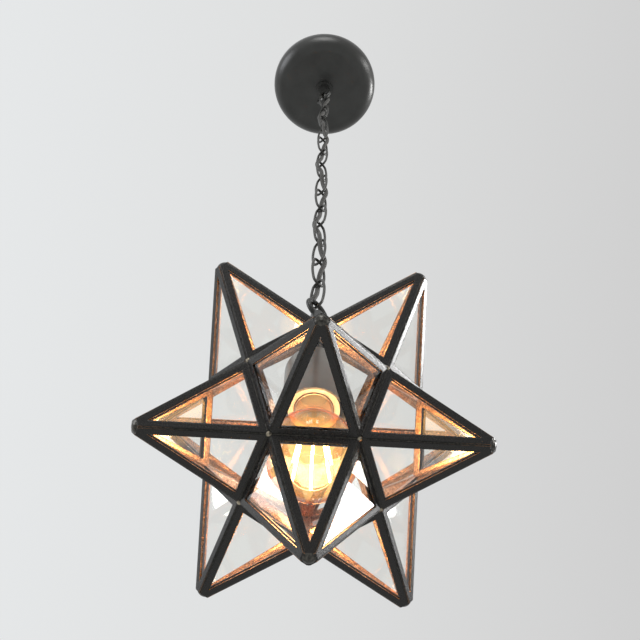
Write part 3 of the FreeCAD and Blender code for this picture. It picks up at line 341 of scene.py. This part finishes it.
def bare_metal(name, light, dark, roughness, across=(1.0, 1.0, 1.0)):
    """Bare or plated metal with fine tool marks, stretched along one direction."""
    material, tree, shader = new_material(name)
    stretched = add(tree, "ShaderNodeMapping", {"Scale": across}, Vector=place_on_piece(tree))
    marks = add(tree, "ShaderNodeTexNoise", {"Scale": 900.0, "Detail": 3.0},
                Vector=stretched.outputs[0])
    colour_between(tree, shader, marks.outputs[0], dark, light)
    tree.links.new(level(tree, marks.outputs[0], roughness - 0.08, roughness + 0.08),
                   shader.inputs["Roughness"])
    shader.inputs["Metallic"].default_value = 1.0
    return material


def porcelain():
    """White glazed porcelain: clear coat over a faintly speckled body."""
    material, tree, shader = new_material("glazed_porcelain")
    fleck = speckle(tree, 1.2 * MM, 2.0)
    tree.links.new(tones(tree, fleck.outputs[0], (0.35, "e6dfcf"), (0.6, "f1ecdf")),
                   shader.inputs["Base Color"])
    shader.inputs["Roughness"].default_value = 0.16
    shader.inputs["Coat Weight"].default_value = 0.5
    return material


def moulded_plastic(name, light, dark, roughness):
    """Injection moulded plastic with a fine matt grain."""
    material, tree, shader = new_material(name)
    grain = speckle(tree, 0.4 * MM, 2.0)
    colour_between(tree, shader, grain.outputs[0], dark, light)
    tree.links.new(bump(tree, grain.outputs[0], 0.02 * MM), shader.inputs["Normal"])
    shader.inputs["Roughness"].default_value = roughness
    return material


def braided_sleeve():
    """Woven cord sleeve: a diamond braid that runs along the cord in its own UV map."""
    material, tree, shader = new_material("woven_cord_sleeve")
    along = add(tree, "ShaderNodeUVMap", {"uv_map": "along"})
    split = add(tree, "ShaderNodeSeparateXYZ", n0=along.outputs[0])
    # u counts turns round the cord and v counts millimetres along it
    strands_round, strand_run = 6.0, 2.4
    slants = []
    for hand in (1, -1):
        across = calculate(tree, "MULTIPLY", split.outputs[0], strands_round * hand)
        run = calculate(tree, "MULTIPLY_ADD", split.outputs[1], 1 / strand_run, across)
        slants.append(calculate(tree, "SINE", calculate(tree, "MULTIPLY", run, 2 * math.pi)))
    braid = calculate(tree, "MULTIPLY", *slants)
    height = add(tree, "ShaderNodeMapRange", {"From Min": -1.0, "From Max": 1.0}, Value=braid)
    # the braid pattern, with painted shade: the colour runs from dark where the strands lie low
    # to light on their crests, as shade in the grooves
    tree.links.new(tones(tree, height.outputs[0], (0.2, "2a2826"), (0.8, "4d4b46")),
                   shader.inputs["Base Color"])
    tree.links.new(bump(tree, height.outputs[0], 0.25 * MM), shader.inputs["Normal"])
    shader.inputs["Roughness"].default_value = 0.7
    shader.inputs["Sheen Weight"].default_value = 0.1
    return material


FINISHES = {
    "canopy": painted_metal("satin_paint_on_spun_steel", "393937", "2e2e2c", 0.33),
    "cast": painted_metal("satin_paint_on_cast_metal", "343432", "272725", 0.34),
    "chain": painted_metal("satin_paint_on_steel_wire", "454441", "353431", 0.4, 0.7 * MM),
    "cup": painted_metal("grey_brown_paint_on_drawn_sheet", "85817c", "6d6964", 0.36),
    "channel": patinated_channel(),
    "seam": tinned_solder("drawn_solder_seam", "45433f", "282725"),
    "bead": tinned_solder("darkened_solder_bead", "55534e", "2c2b29"),
    "joint": tinned_solder("tarnished_solder_joint", "b5aa95", "3d3a36"),
    "pane": clear_glass("clear_float_glass", "fefefd", "f2f1ee", 0.03),
    # the bulb's globe and stem carry a painted glow
    "globe": clear_glass("clear_blown_glass_painted_glow", "fff1d8", "eda67c", 0.02, "ffcf80", 0.22),
    "stem": clear_glass("clear_pressed_glass_painted_glow", "f8f0e0", "dfc29c", 0.08, "ffe2b0", 0.12),
    "rod": glowing("glowing_filament_rod", "ffcf7d", 30.0),
    "zinc": bare_metal("zinc_plated_steel", "b4b4b0", "8f8f8c", 0.38),
    "brass": bare_metal("turned_brass", "c6a35a", "99783a", 0.3, (1.0, 1.0, 0.1)),
    "aluminium": bare_metal("rolled_aluminium", "c9c8c3", "a5a49f", 0.35, (1.0, 1.0, 0.1)),
    "porcelain": porcelain(),
    "insulator": moulded_plastic("black_glass_insulator", "1d1c1c", "0e0e0e", 0.15),
    "connector": moulded_plastic("moulded_orange_nylon", "d9731f", "b95c14", 0.45),
    "lead": moulded_plastic("pvc_insulation", "232323", "161616", 0.35),
    "cord": braided_sleeve(),
}


# ---------------------------------------------------------------- small object and mesh helpers

def new_object(name, data):
    """An object in the scene that holds the data."""
    holder = bpy.data.objects.new(name, data)
    bpy.context.scene.collection.objects.link(holder)
    return holder


def finish_piece(mesh, name, body, finish, replaces=()):
    """Turn a mesh into a finished piece that rides on a body, if one is named."""
    piece = new_object(name, mesh)
    mesh.materials.clear()
    mesh.materials.append(FINISHES[finish])
    mesh.shade_smooth()
    mesh.set_sharp_from_angle(angle=SMOOTH_BELOW)
    if replaces:
        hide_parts(*replaces)
    if body:
        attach(piece, body)
    return piece


def turned_mesh(name, profile, height=0.0, segments=96):
    """Closed skin turned round the vertical axis from (radius, height) points in millimetres."""
    shape = bmesh.new()
    rows = []
    for radius, rise in profile:
        if radius < 1e-6:
            rows.append([shape.verts.new((0, 0, rise * MM + height))])
            continue
        turns = (2 * math.pi * index / segments for index in range(segments))
        rows.append([shape.verts.new((radius * MM * math.cos(turn), radius * MM * math.sin(turn),
                                      rise * MM + height)) for turn in turns])
    for first, second in zip(rows, rows[1:] + rows[:1]):
        if len(first) == 1 and len(second) == 1:
            continue
        for index in range(segments):
            following = (index + 1) % segments
            corners = [first[index % len(first)], first[following % len(first)],
                       second[following % len(second)], second[index % len(second)]]
            unique = list(dict.fromkeys(corners))
            if len(unique) > 2:
                shape.faces.new(unique)
    bmesh.ops.recalc_face_normals(shape, faces=shape.faces)
    mesh = bpy.data.meshes.new(name)
    shape.to_mesh(mesh)
    shape.free()
    return mesh


def arc_points(centre, radius, start, stop, steps):
    """Points on an arc of a profile, angles in degrees."""
    points = []
    for index in range(steps + 1):
        angle = math.radians(start + (stop - start) * index / steps)
        points.append((centre[0] + radius * math.cos(angle),
                       centre[1] + radius * math.sin(angle)))
    return points


def dress(finish, *names):
    """Give carried-over solids their finish."""
    for name in names:
        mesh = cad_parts[name].data
        mesh.materials.clear()
        mesh.materials.append(FINISHES[finish])


# ---------------------------------------------------------------- geometry node trees

def new_tree(name, *inputs):
    """Geometry tree with an object's own geometry in, named float inputs, and geometry out."""
    tree = bpy.data.node_groups.new(name, "GeometryNodeTree")
    tree.interface.new_socket("Geometry", in_out="INPUT", socket_type="NodeSocketGeometry")
    for label in inputs:
        tree.interface.new_socket(label, in_out="INPUT", socket_type="NodeSocketFloat")
    tree.interface.new_socket("Geometry", in_out="OUTPUT", socket_type="NodeSocketGeometry")
    return tree, add(tree, "NodeGroupInput")


def close_tree(tree, geometry, finish):
    """End a tree with real geometry that carries its finish."""
    real = add(tree, "GeometryNodeRealizeInstances", Geometry=geometry)
    dressed = add(tree, "GeometryNodeSetMaterial", {"Material": FINISHES[finish]},
                  Geometry=real.outputs[0])
    add(tree, "NodeGroupOutput", n0=dressed.outputs[0])


def grown(name, base, tree, **values):
    """Run a tree on a base mesh or curve and give back the plain mesh that it makes."""
    source = new_object(name + "_base", base)
    modifier = source.modifiers.new(name, "NODES")
    modifier.node_group = tree
    for item in tree.interface.items_tree:
        if item.in_out == "INPUT" and item.name in values:
            modifier[item.identifier] = values[item.name]
    bpy.context.view_layer.update()
    evaluated = source.evaluated_get(bpy.context.evaluated_depsgraph_get())
    mesh = bpy.data.meshes.new_from_object(evaluated)
    mesh.name = name
    bpy.data.objects.remove(source)
    return mesh


def rounded_wire_tree(name, finish, resolution):
    """Follow each edge of the base with a round wire of the given radius."""
    tree, entry = new_tree(name, "radius")
    path = add(tree, "GeometryNodeMeshToCurve", Mesh=entry.outputs[0])
    ring = add(tree, "GeometryNodeCurvePrimitiveCircle", {"Resolution": resolution},
               Radius=entry.outputs["radius"])
    wire = add(tree, "GeometryNodeCurveToMesh", {"Fill Caps": True}, Curve=path.outputs[0],
               Profile_Curve=ring.outputs[0])
    close_tree(tree, wire.outputs[0], finish)
    return tree


def bead_tree():
    """Set a lumpy bead of solder on each point of the base, each a little different."""
    tree, entry = new_tree("solder_joints", "radius", "unevenness")
    ball = add(tree, "GeometryNodeMeshIcoSphere", {"Subdivisions": 3},
               Radius=entry.outputs["radius"])
    numbered = add(tree, "GeometryNodeInputIndex")
    swell = add(tree, "FunctionNodeRandomValue",
                {"data_type": "FLOAT", "Seed": 7, 2: 0.85, 3: 1.12}, ID=numbered.outputs[0])
    beads = add(tree, "GeometryNodeInstanceOnPoints", Points=entry.outputs[0],
                Instance=ball.outputs[0], Scale=swell.outputs[1])
    real = add(tree, "GeometryNodeRealizeInstances", Geometry=beads.outputs[0])
    ripple = add(tree, "ShaderNodeTexNoise", {"Scale": 420.0, "Detail": 2.0})
    shift = calculate(tree, "SUBTRACT", ripple.outputs[0], 0.5)
    lift = calculate(tree, "MULTIPLY", shift, entry.outputs["unevenness"])
    outward = add(tree, "GeometryNodeInputNormal")
    push = add(tree, "ShaderNodeVectorMath", {"operation": "SCALE"}, n0=outward.outputs[0],
               Scale=lift)
    moved = add(tree, "GeometryNodeSetPosition", Geometry=real.outputs[0], Offset=push.outputs[0])
    close_tree(tree, moved.outputs[0], "joint")
    return tree


# ---------------------------------------------------------------- star geometry

def ring_tips(azimuth, height):
    """Directions of five points round the star, all at one height."""
    radius = math.sqrt(1 - height ** 2)
    return [Vector((radius * math.cos(math.radians(azimuth + 72 * count)),
                    radius * math.sin(math.radians(azimuth + 72 * count)), height))
            for count in range(5)]


RING_HEIGHT = 1 / math.sqrt(5)
UPPER_TIPS = ring_tips(90, RING_HEIGHT)
LOWER_TIPS = ring_tips(270, -RING_HEIGHT)
ALL_TIPS = [UP, -UP] + UPPER_TIPS + LOWER_TIPS
DOOR_TIP = UPPER_TIPS[0]
BASE_EDGE = TIP_RADIUS / (POINT_RATIO + CORE_RATIO)
CORE_RADIUS = BASE_EDGE * GOLDEN * math.sqrt(3) / 2


def inner_corners():
    """The twenty inner corners, each with the three point directions that meet there."""
    corners = []
    for tips in combinations(ALL_TIPS, 3):
        if all(abs(tip.dot(other) - RING_HEIGHT) < 0.01 for tip, other in combinations(tips, 2)):
            corners.append((sum(tips, Vector()).normalized(), tips))
    return corners


CORNERS = inner_corners()


def ridge_lines(door):
    """Outer ridges of the door point, or of the eleven fixed points, as pairs of ends."""
    lines = []
    for direction, tips in CORNERS:
        for tip in tips:
            if (tip == DOOR_TIP) != door:
                continue
            peak = tip * TIP_RADIUS
            foot = direction * CORE_RADIUS
            along = (foot - peak).normalized()
            outward = (foot - tip * foot.dot(tip)).normalized()
            outward = (outward - along * outward.dot(along)).normalized()
            cut = (TOP_CUT if tip == UP else TIP_CUT) / abs(along.dot(tip))
            lift = outward * SEAM_LIFT
            lines.append((STAR + peak + along * (cut + SEAM_TIP_GAP) + lift,
                          STAR + foot - along * SEAM_CORNER_GAP + lift))
    return lines


def valley_lines():
    """Valleys between fixed points, as pairs of ends; the door's own gap stays open."""
    lines = []
    for (direction, tips), (other_direction, other_tips) in combinations(CORNERS, 2):
        shared = [tip for tip in tips if tip in other_tips]
        if len(shared) != 2 or DOOR_TIP in shared:
            continue
        start, end = direction * CORE_RADIUS, other_direction * CORE_RADIUS
        outward = (shared[0] + shared[1]).normalized() * (PANE_FRAME / 2 / math.cos(MITRE))
        along = (end - start).normalized() * VALLEY_END_GAP
        lines.append((STAR + start + along + outward, STAR + end - along + outward))
    return lines


def wire_mesh(name, lines, cuts=10):
    """Loose edges, one run for each pair of ends, whose points between sway as if hand-drawn."""
    mesh = bpy.data.meshes.new(name)
    points, edges = [], []
    for number, (start, end) in enumerate(lines):
        for step in range(cuts + 1):
            share = step / cuts
            point = start.lerp(end, share)
            if 0 < step < cuts:
                sway = SEAM_SWAY * math.sin(5.1 * step + 2.3 * number)
                point = point + (point - STAR).normalized() * sway
            if step:
                edges.append((len(points) - 1, len(points)))
            points.append(point)
    mesh.from_pydata(points, edges, [])
    return mesh


def make_solder():
    """Seams along the ridges and valleys, and a joint on each inner corner clear of the door."""
    seam = rounded_wire_tree("solder_seams", "seam", 10)
    fixed = grown("ridge_seams", wire_mesh("ridges", ridge_lines(False)), seam,
                  radius=SEAM_RADIUS)
    finish_piece(fixed, "ridge_seams", "star", "seam")
    hinged = grown("door_ridge_seams", wire_mesh("door_ridges", ridge_lines(True)), seam,
                   radius=SEAM_RADIUS)
    finish_piece(hinged, "door_ridge_seams", "access_door", "seam")
    valleys = grown("valley_seams", wire_mesh("valleys", valley_lines()), seam,
                    radius=VALLEY_RADIUS)
    finish_piece(valleys, "valley_seams", "star", "seam")
    spots = bpy.data.meshes.new("joint_places")
    spots.from_pydata([STAR + direction * (CORE_RADIUS + JOINT_LIFT)
                       for direction, tips in CORNERS if DOOR_TIP not in tips], [], [])
    joints = grown("solder_joints", spots, bead_tree(), radius=JOINT_RADIUS,
                   unevenness=JOINT_UNEVENNESS)
    finish_piece(joints, "solder_joints", "star", "joint")


# ---------------------------------------------------------------- chain and cord

def link_turn(count):
    """Turn of a link about the chain's axis; each is square to the one before."""
    return math.radians(LINK_TURN if count % 2 else -LINK_TURN)


def link_height(count):
    """Height of a link's centre."""
    return FIRST_LINK - (count - 1) * LINK_PITCH


def link_outline(steps=14):
    """Wire line of one oval link, upright in the XZ plane round its own centre."""
    lift = HALF_LINK - LINK_END_RADIUS
    side = ((LINK_HALF_WIDTH ** 2 + lift ** 2 - LINK_END_RADIUS ** 2)
            / (2 * (LINK_HALF_WIDTH - LINK_END_RADIUS)))
    meet = math.atan2(lift, side - LINK_HALF_WIDTH)
    arcs = [((0, lift), LINK_END_RADIUS, meet, math.pi - meet),
            ((side - LINK_HALF_WIDTH, 0), side, math.pi - meet, math.pi + meet),
            ((0, -lift), LINK_END_RADIUS, math.pi + meet, 2 * math.pi - meet),
            ((LINK_HALF_WIDTH - side, 0), side, -meet, meet)]
    points = []
    for (across, rise), radius, begin, finish in arcs:
        for step in range(steps):
            angle = begin + (finish - begin) * step / steps
            points.append(Vector((across + radius * math.cos(angle), 0,
                                  rise + radius * math.sin(angle))))
    return points


def make_chain():
    """One link outline, followed by a round wire; each link is turned and hung in its place."""
    tree = rounded_wire_tree("chain_wire", "chain", 16)
    for count in range(1, LINK_COUNT + 1):
        turn = Matrix.Rotation(link_turn(count), 3, "Z")
        points = [turn @ point + UP * link_height(count) for point in link_outline()]
        outline = bpy.data.meshes.new("link_outline")
        total = len(points)
        outline.from_pydata(points, [(index, (index + 1) % total) for index in range(total)], [])
        link = grown(f"oval_link_{count:02d}", outline, tree, radius=LINK_WIRE / 2)
        finish_piece(link, f"oval_link_{count:02d}", f"link_{count:02d}", "chain",
                     [f"chain_link_{count:02d}"])


def around(offset, azimuth, height):
    """A place beside the chain's axis."""
    angle = math.radians(azimuth)
    return Vector((offset * math.cos(angle), offset * math.sin(angle), height))


def cord_route():
    """The points that the cord's line is drawn from, the same as in the solids."""
    route = [Vector((0, 0, CORD_TOP)), Vector((0, 0, CANOPY_EYE + TURN_ASIDE))]
    for count in range(1, LINK_COUNT + 1):
        offset = EYE_OFFSET if count == 1 else JOINT_OFFSET
        route.append(around(offset, 90 * (count - 1), link_height(count) + JOINT_DROP))
        route.append(around(MIDDLE_OFFSET, 90 * (count - 1) + LINK_TURN, link_height(count)))
    route.append(around(EYE_OFFSET, 90 * LINK_COUNT, link_height(LINK_COUNT) - JOINT_DROP))
    route.append(Vector((0, 0, STAR_EYE - TURN_ASIDE)))
    route.append(Vector((0, 0, CORD_END)))
    return route


def smooth_line(route):
    """Points along the route's own smooth line."""
    curve = bpy.data.curves.new("cord_line", "CURVE")
    curve.dimensions = "3D"
    curve.resolution_u = 10
    spline = curve.splines.new("NURBS")
    spline.points.add(len(route) - 1)
    for point, place in zip(spline.points, route):
        point.co = (*place, 1)
    spline.order_u = 3
    spline.use_endpoint_u = True
    holder = new_object("cord_line", curve)
    bpy.context.view_layer.update()
    mesh = bpy.data.meshes.new_from_object(holder)
    points = [vertex.co.copy() for vertex in mesh.vertices]
    bpy.data.objects.remove(holder)
    return points


def sleeve_mesh(name, line, start_length, sides=20):
    """Tube along a line, with a UV map that counts turns round it and millimetres along it."""
    shape = bmesh.new()
    uv = shape.loops.layers.uv.new("along")
    rings, lengths, length = [], [], start_length
    for index, point in enumerate(line):
        before, after = line[max(index - 1, 0)], line[min(index + 1, len(line) - 1)]
        along = (after - before).normalized()
        across = (Vector((1, 0, 0)) - along * along.x).normalized()
        beside = along.cross(across)
        if index:
            length += (point - line[index - 1]).length / MM
        lengths.append(length)
        turns = (2 * math.pi * side / sides for side in range(sides))
        spokes = (across * math.cos(turn) + beside * math.sin(turn) for turn in turns)
        rings.append([shape.verts.new(point + spoke * CORD_RADIUS) for spoke in spokes])
    for index in range(len(rings) - 1):
        for side in range(sides):
            following = (side + 1) % sides
            face = shape.faces.new([rings[index][side], rings[index][following],
                                    rings[index + 1][following], rings[index + 1][side]])
            turns = [side / sides, (side + 1) / sides, (side + 1) / sides, side / sides]
            runs = [lengths[index], lengths[index], lengths[index + 1], lengths[index + 1]]
            for loop, turn, run in zip(face.loops, turns, runs):
                loop[uv].uv = (turn, run)
    for end in (0, -1):
        face = shape.faces.new(rings[end])
        for loop in face.loops:
            loop[uv].uv = (0, lengths[end])
    bmesh.ops.recalc_face_normals(shape, faces=shape.faces)
    mesh = bpy.data.meshes.new(name)
    shape.to_mesh(mesh)
    shape.free()
    return mesh, length


def make_cord():
    """The cord, cut at the middle of each link; each piece runs across one joint."""
    line = smooth_line(cord_route())
    cuts = [0]
    for count in range(1, LINK_COUNT + 1):
        height = link_height(count)
        cuts.append(min(range(len(line)), key=lambda index: abs(line[index].z - height)))
    cuts.append(len(line) - 1)
    length = 0.0
    for count in range(1, LINK_COUNT + 2):
        stretch = line[cuts[count - 1]:cuts[count] + 1]
        name = f"cord_stretch_{count:02d}"
        mesh, length = sleeve_mesh(name, stretch, length)
        piece = finish_piece(mesh, name, None, "cord", ["lamp_cord"])
        if count == 1:
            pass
        elif count == LINK_COUNT + 1:
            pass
        else:
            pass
        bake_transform(piece)


# ---------------------------------------------------------------- turned and drawn pieces

def make_canopy():
    """The ceiling dish: thin sheet with a rounded shoulder."""
    flat = CANOPY_RADIUS - CANOPY_SHOULDER
    centre = (flat, CANOPY_SHOULDER - CANOPY_DEPTH)
    outer = [(TUBE_HOLE, -CANOPY_DEPTH), (flat, -CANOPY_DEPTH)]
    outer += arc_points(centre, CANOPY_SHOULDER, -90, 0, 18)[1:] + [(CANOPY_RADIUS, 0)]
    inner = [(CANOPY_RADIUS - CANOPY_WALL, 0)]
    inner += arc_points(centre, CANOPY_SHOULDER - CANOPY_WALL, 0, -90, 18)
    inner += [(TUBE_HOLE, CANOPY_WALL - CANOPY_DEPTH)]
    mesh = turned_mesh("canopy_dish", outer + inner, segments=160)
    finish_piece(mesh, "canopy_dish", "ceiling_mount", "canopy", ["canopy"])


def make_cup():
    """The socket cup: drawn sheet with a rounded shoulder and a rolled lip."""
    centre = (CUP_RADIUS - CUP_CORNER, CUP_TOP - CUP_CORNER)
    outer = [(TUBE_HOLE, CUP_TOP)] + arc_points(centre, CUP_CORNER, 90, 0, 10)
    outer += [(CUP_RADIUS, CUP_SIDE_END)]
    lip = arc_points(CUP_LIP, CUP_LIP_RADIUS, 60, -100, 8)
    inner = [(CUP_RADIUS - CUP_WALL, CUP_MOUTH), (CUP_RADIUS - CUP_WALL, centre[1])]
    inner += arc_points(centre, CUP_CORNER - CUP_WALL, 0, 90, 10)
    inner += [(TUBE_HOLE, CUP_TOP - CUP_WALL)]
    mesh = turned_mesh("socket_cup_drawn", outer + lip + inner, STAR_HEIGHT, 128)
    finish_piece(mesh, "socket_cup_drawn", "star", "cup", ["socket_cup"])


def make_cap():
    """The domed cap on the cut top point."""
    profile = [(TUBE_HOLE, 0), (CAP_RADIUS - CAP_CHAMFER, 0), (CAP_RADIUS, CAP_CHAMFER),
               (CAP_RADIUS, CAP_RIM)]
    profile += arc_points((CAP_RADIUS - CAP_CURVE, CAP_RIM), CAP_CURVE, 0, CAP_CURVE_END, 10)
    profile += [(CAP_FLAT, CAP_HEIGHT), (TUBE_HOLE, CAP_HEIGHT)]
    mesh = turned_mesh("top_cap_turned", profile, STAR_HEIGHT + TIP_RADIUS - TOP_CUT)
    finish_piece(mesh, "top_cap_turned", "star", "cast", ["top_cap"])


def make_globe():
    """The bulb's glass, with a thin wall: a globe that a hollow curve leads into the neck."""
    shoulder = math.radians(GLOBE_SHOULDER)
    bend = (GLOBE_RADIUS * math.cos(shoulder) - NECK_RADIUS) / (1 - math.cos(shoulder))
    middle = (0, GLOBE_MIDDLE)
    beside = (NECK_RADIUS + bend, GLOBE_MIDDLE + (GLOBE_RADIUS + bend) * math.sin(shoulder))
    inside = GLOBE_RADIUS - GLOBE_WALL
    meet = 180 + GLOBE_SHOULDER
    outer = arc_points(middle, GLOBE_RADIUS, -90, GLOBE_SHOULDER, 40)
    outer += arc_points(beside, bend, meet, 180, 16)[1:] + [(NECK_RADIUS, NECK_TOP)]
    inner = [(NECK_RADIUS - GLOBE_WALL, NECK_TOP)]
    inner += arc_points(beside, bend + GLOBE_WALL, 180, meet, 16)
    inner += arc_points(middle, inside, GLOBE_SHOULDER, -90, 40)[1:]
    outer[0], inner[-1] = (0, GLOBE_MIDDLE - GLOBE_RADIUS), (0, GLOBE_MIDDLE - inside)
    mesh = turned_mesh("bulb_globe", outer + inner, BULB_HEIGHT)
    finish_piece(mesh, "bulb_globe", "bulb", "globe", ["bulb_glass"])


def make_rods():
    """The glowing filament rods, which lean inwards as they rise."""
    rods = bpy.data.meshes.new("rod_places")
    points, edges = [], []
    for index in range(FILAMENT_COUNT):
        azimuth = 360 / FILAMENT_COUNT * (index + 0.5)
        foot = around(FILAMENT_FOOT, azimuth, BULB_HEIGHT - FILAMENT_FOOT_DROP)
        inwards = around(FILAMENT_FOOT - FILAMENT_TOP, azimuth, 0)
        rise = UP * math.sqrt(FILAMENT_LENGTH ** 2 - inwards.length ** 2) - inwards
        for step, share in enumerate((0.01, 0.17, 0.5, 0.83, 0.99)):
            points.append(foot + rise * share)
            if step:
                edges.append((len(points) - 2, len(points) - 1))
    rods.from_pydata(points, edges, [])
    mesh = grown("filament_rods", rods, rounded_wire_tree("rods", "rod", 12),
                 radius=FILAMENT_RADIUS)
    finish_piece(mesh, "filament_rods", "bulb", "rod", ["filaments"])


def dress_solids():
    """Finishes of the solids that are shown as they are."""
    dress("channel", *[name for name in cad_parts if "frames" in name])
    dress("channel", "door_hinge_star_tubes", "door_hinge_door_tube")
    dress("pane", "top_point_glass", "star_glass", "door_glass")
    dress("bead", "tip_beads", "door_tip_bead")
    dress("cast", "canopy_loop", "star_loop")
    dress("zinc", "crossbar", "canopy_lock_nuts", "stem_lock_nuts", "filament_wires",
          "door_hinge_pin")
    dress("brass", "ground_screw", "canopy_tube", "stem_tube", "screw_shell", "centre_contact")
    dress("aluminium", "bulb_cap", "bulb_contact")
    dress("porcelain", "lampholder")
    dress("insulator", "bulb_base")
    dress("connector", "wire_connectors")
    dress("lead", "supply_leads")
    dress("stem", "bulb_stem")


# ---------------------------------------------------------------- stage, lights and camera

def seen_rays(tree):
    """One for rays that see the backdrop: from the camera, by reflection or through glass."""
    path = add(tree, "ShaderNodeLightPath")
    seen = path.outputs["Is Camera Ray"]
    for kind in ("Is Glossy Ray", "Is Transmission Ray"):
        seen = calculate(tree, "MAXIMUM", seen, path.outputs[kind])
    return seen


def make_floor():
    """A wide pale floor, well below the star."""
    material, tree, shader = new_material("pale_floor")
    for key in ("Base Color", "Emission Color"):
        shader.inputs[key].default_value = srgb("dcdddc")
    shader.inputs["Roughness"].default_value = 0.8
    tree.links.new(calculate(tree, "MULTIPLY", seen_rays(tree), 0.45),
                   shader.inputs["Emission Strength"])
    bpy.ops.mesh.primitive_plane_add(size=40, location=(0, 0, -3.0))
    floor = bpy.context.object
    floor.name = "floor"
    floor.data.materials.append(material)


def make_backdrop():
    """A pale room, lighter to the left; what lights the object directly is a darker grey."""
    world = bpy.data.worlds.new("pale_room")
    bpy.context.scene.world = world
    world.use_nodes = True
    tree = world.node_tree
    tree.nodes.clear()
    direction = add(tree, "ShaderNodeTexCoord")
    split = add(tree, "ShaderNodeSeparateXYZ", n0=direction.outputs["Generated"])
    side = add(tree, "ShaderNodeMapRange", {"From Min": -0.28, "From Max": 0.3},
               Value=split.outputs[0])
    pale = tones(tree, side.outputs[0], (0.0, "e6e8e9"), (0.5, "dedfdf"), (1.0, "d0d0d0"))
    room = tones(tree, side.outputs[0], (0.0, "b8babb"), (1.0, "9a9a9a"))
    mixed = add(tree, "ShaderNodeMix", {"data_type": "RGBA"}, n0=seen_rays(tree), n6=room,
                n7=pale)
    shine = add(tree, "ShaderNodeBackground", {"Strength": 1.0}, Color=mixed.outputs[2])
    add(tree, "ShaderNodeOutputWorld", Surface=shine.outputs[0])


def add_light(kind, name, place, power, colour):
    """The object of a light at a place."""
    lamp = bpy.data.lights.new(name, kind)
    lamp.energy = power
    lamp.color = srgb(colour)[:3]
    holder = new_object(name, lamp)
    holder.location = place
    return holder


def make_lights():
    """Windows and lit patches of the room, each aimed at a height on the axis, and the bulb."""
    # name, place, height aimed at, width and height, power, colour
    windows = [
        ("window_left", (-2.1, -0.75, -0.1), -0.8, (1.0, 1.6), 20, "f6f8ff"),
        ("window_right", (2.15, -0.75, 0.0), -0.8, (0.35, 1.6), 15, "ffffff"),
        ("window_high_right", (1.686, 0.389, 0.343), -0.8, (0.36, 0.22), 17, "ffffff"),
        ("bright_pane_right", (1.864, 0.683, -0.179), -0.93, (0.2, 0.22), 2.2, "ffffff"),
        ("bright_pane_left", (-1.99, 0.62, -0.18), -0.93, (0.22, 0.2), 0.5, "ffffff"),
        ("ceiling_bounce", (-0.1, -1.5, 0.3), -0.6, (0.7, 0.8), 9, "ffffff"),
    ]
    for name, place, aim, size, power, colour in windows:
        window = add_light("AREA", name, place, power, colour)
        window.data.shape = "RECTANGLE"
        window.data.size, window.data.size_y = size
        towards = Vector((0, 0, aim)) - Vector(place)
        window.rotation_euler = towards.to_track_quat("-Z", "Y").to_euler()
    middle = (0, 0, BULB_HEIGHT + GLOBE_MIDDLE * MM)
    glow = add_light("POINT", "bulb_light", middle, 0.3, "ffeed8")
    glow.data.shadow_soft_size = 18 * MM


def make_camera():
    """The camera's lens, turn and place, fitted to the photograph from the star's centre."""
    picture_width, focal_length = 640, 1081.6  # both in pixels
    fitted_unit = 0.125  # half of the star from tip to opposite tip, in metres
    lens = bpy.data.cameras.new("camera")
    lens.sensor_fit = "HORIZONTAL"
    lens.sensor_width = 36
    lens.lens = lens.sensor_width * focal_length / picture_width
    lens.clip_start = 0.01
    turn = Vector((-0.07547, 0.01615, -0.05385))
    seen = Quaternion(turn.normalized(), turn.length).to_matrix()
    # from this frame's axes to those of the fit, in which the star leaned
    leaning = Matrix(((1, 0, 0), (0, -0.85065, 0.52573), (0, -0.52573, -0.85065)))
    facing = (seen @ leaning).transposed()
    shift = Vector((-0.03598, -0.58352, -5.59468)) * fitted_unit
    holder = new_object("camera", lens)
    holder.matrix_world = Matrix.Translation(STAR - facing @ shift) @ facing.to_4x4()
    bpy.context.scene.camera = holder


make_camera()
make_cord()
make_chain()
make_canopy()
make_cup()
make_cap()
make_globe()
make_rods()
make_solder()
dress_solids()
make_floor()
make_backdrop()
make_lights()
bpy.context.scene.view_settings.view_transform = "Standard"

bpy.context.view_layer.update()
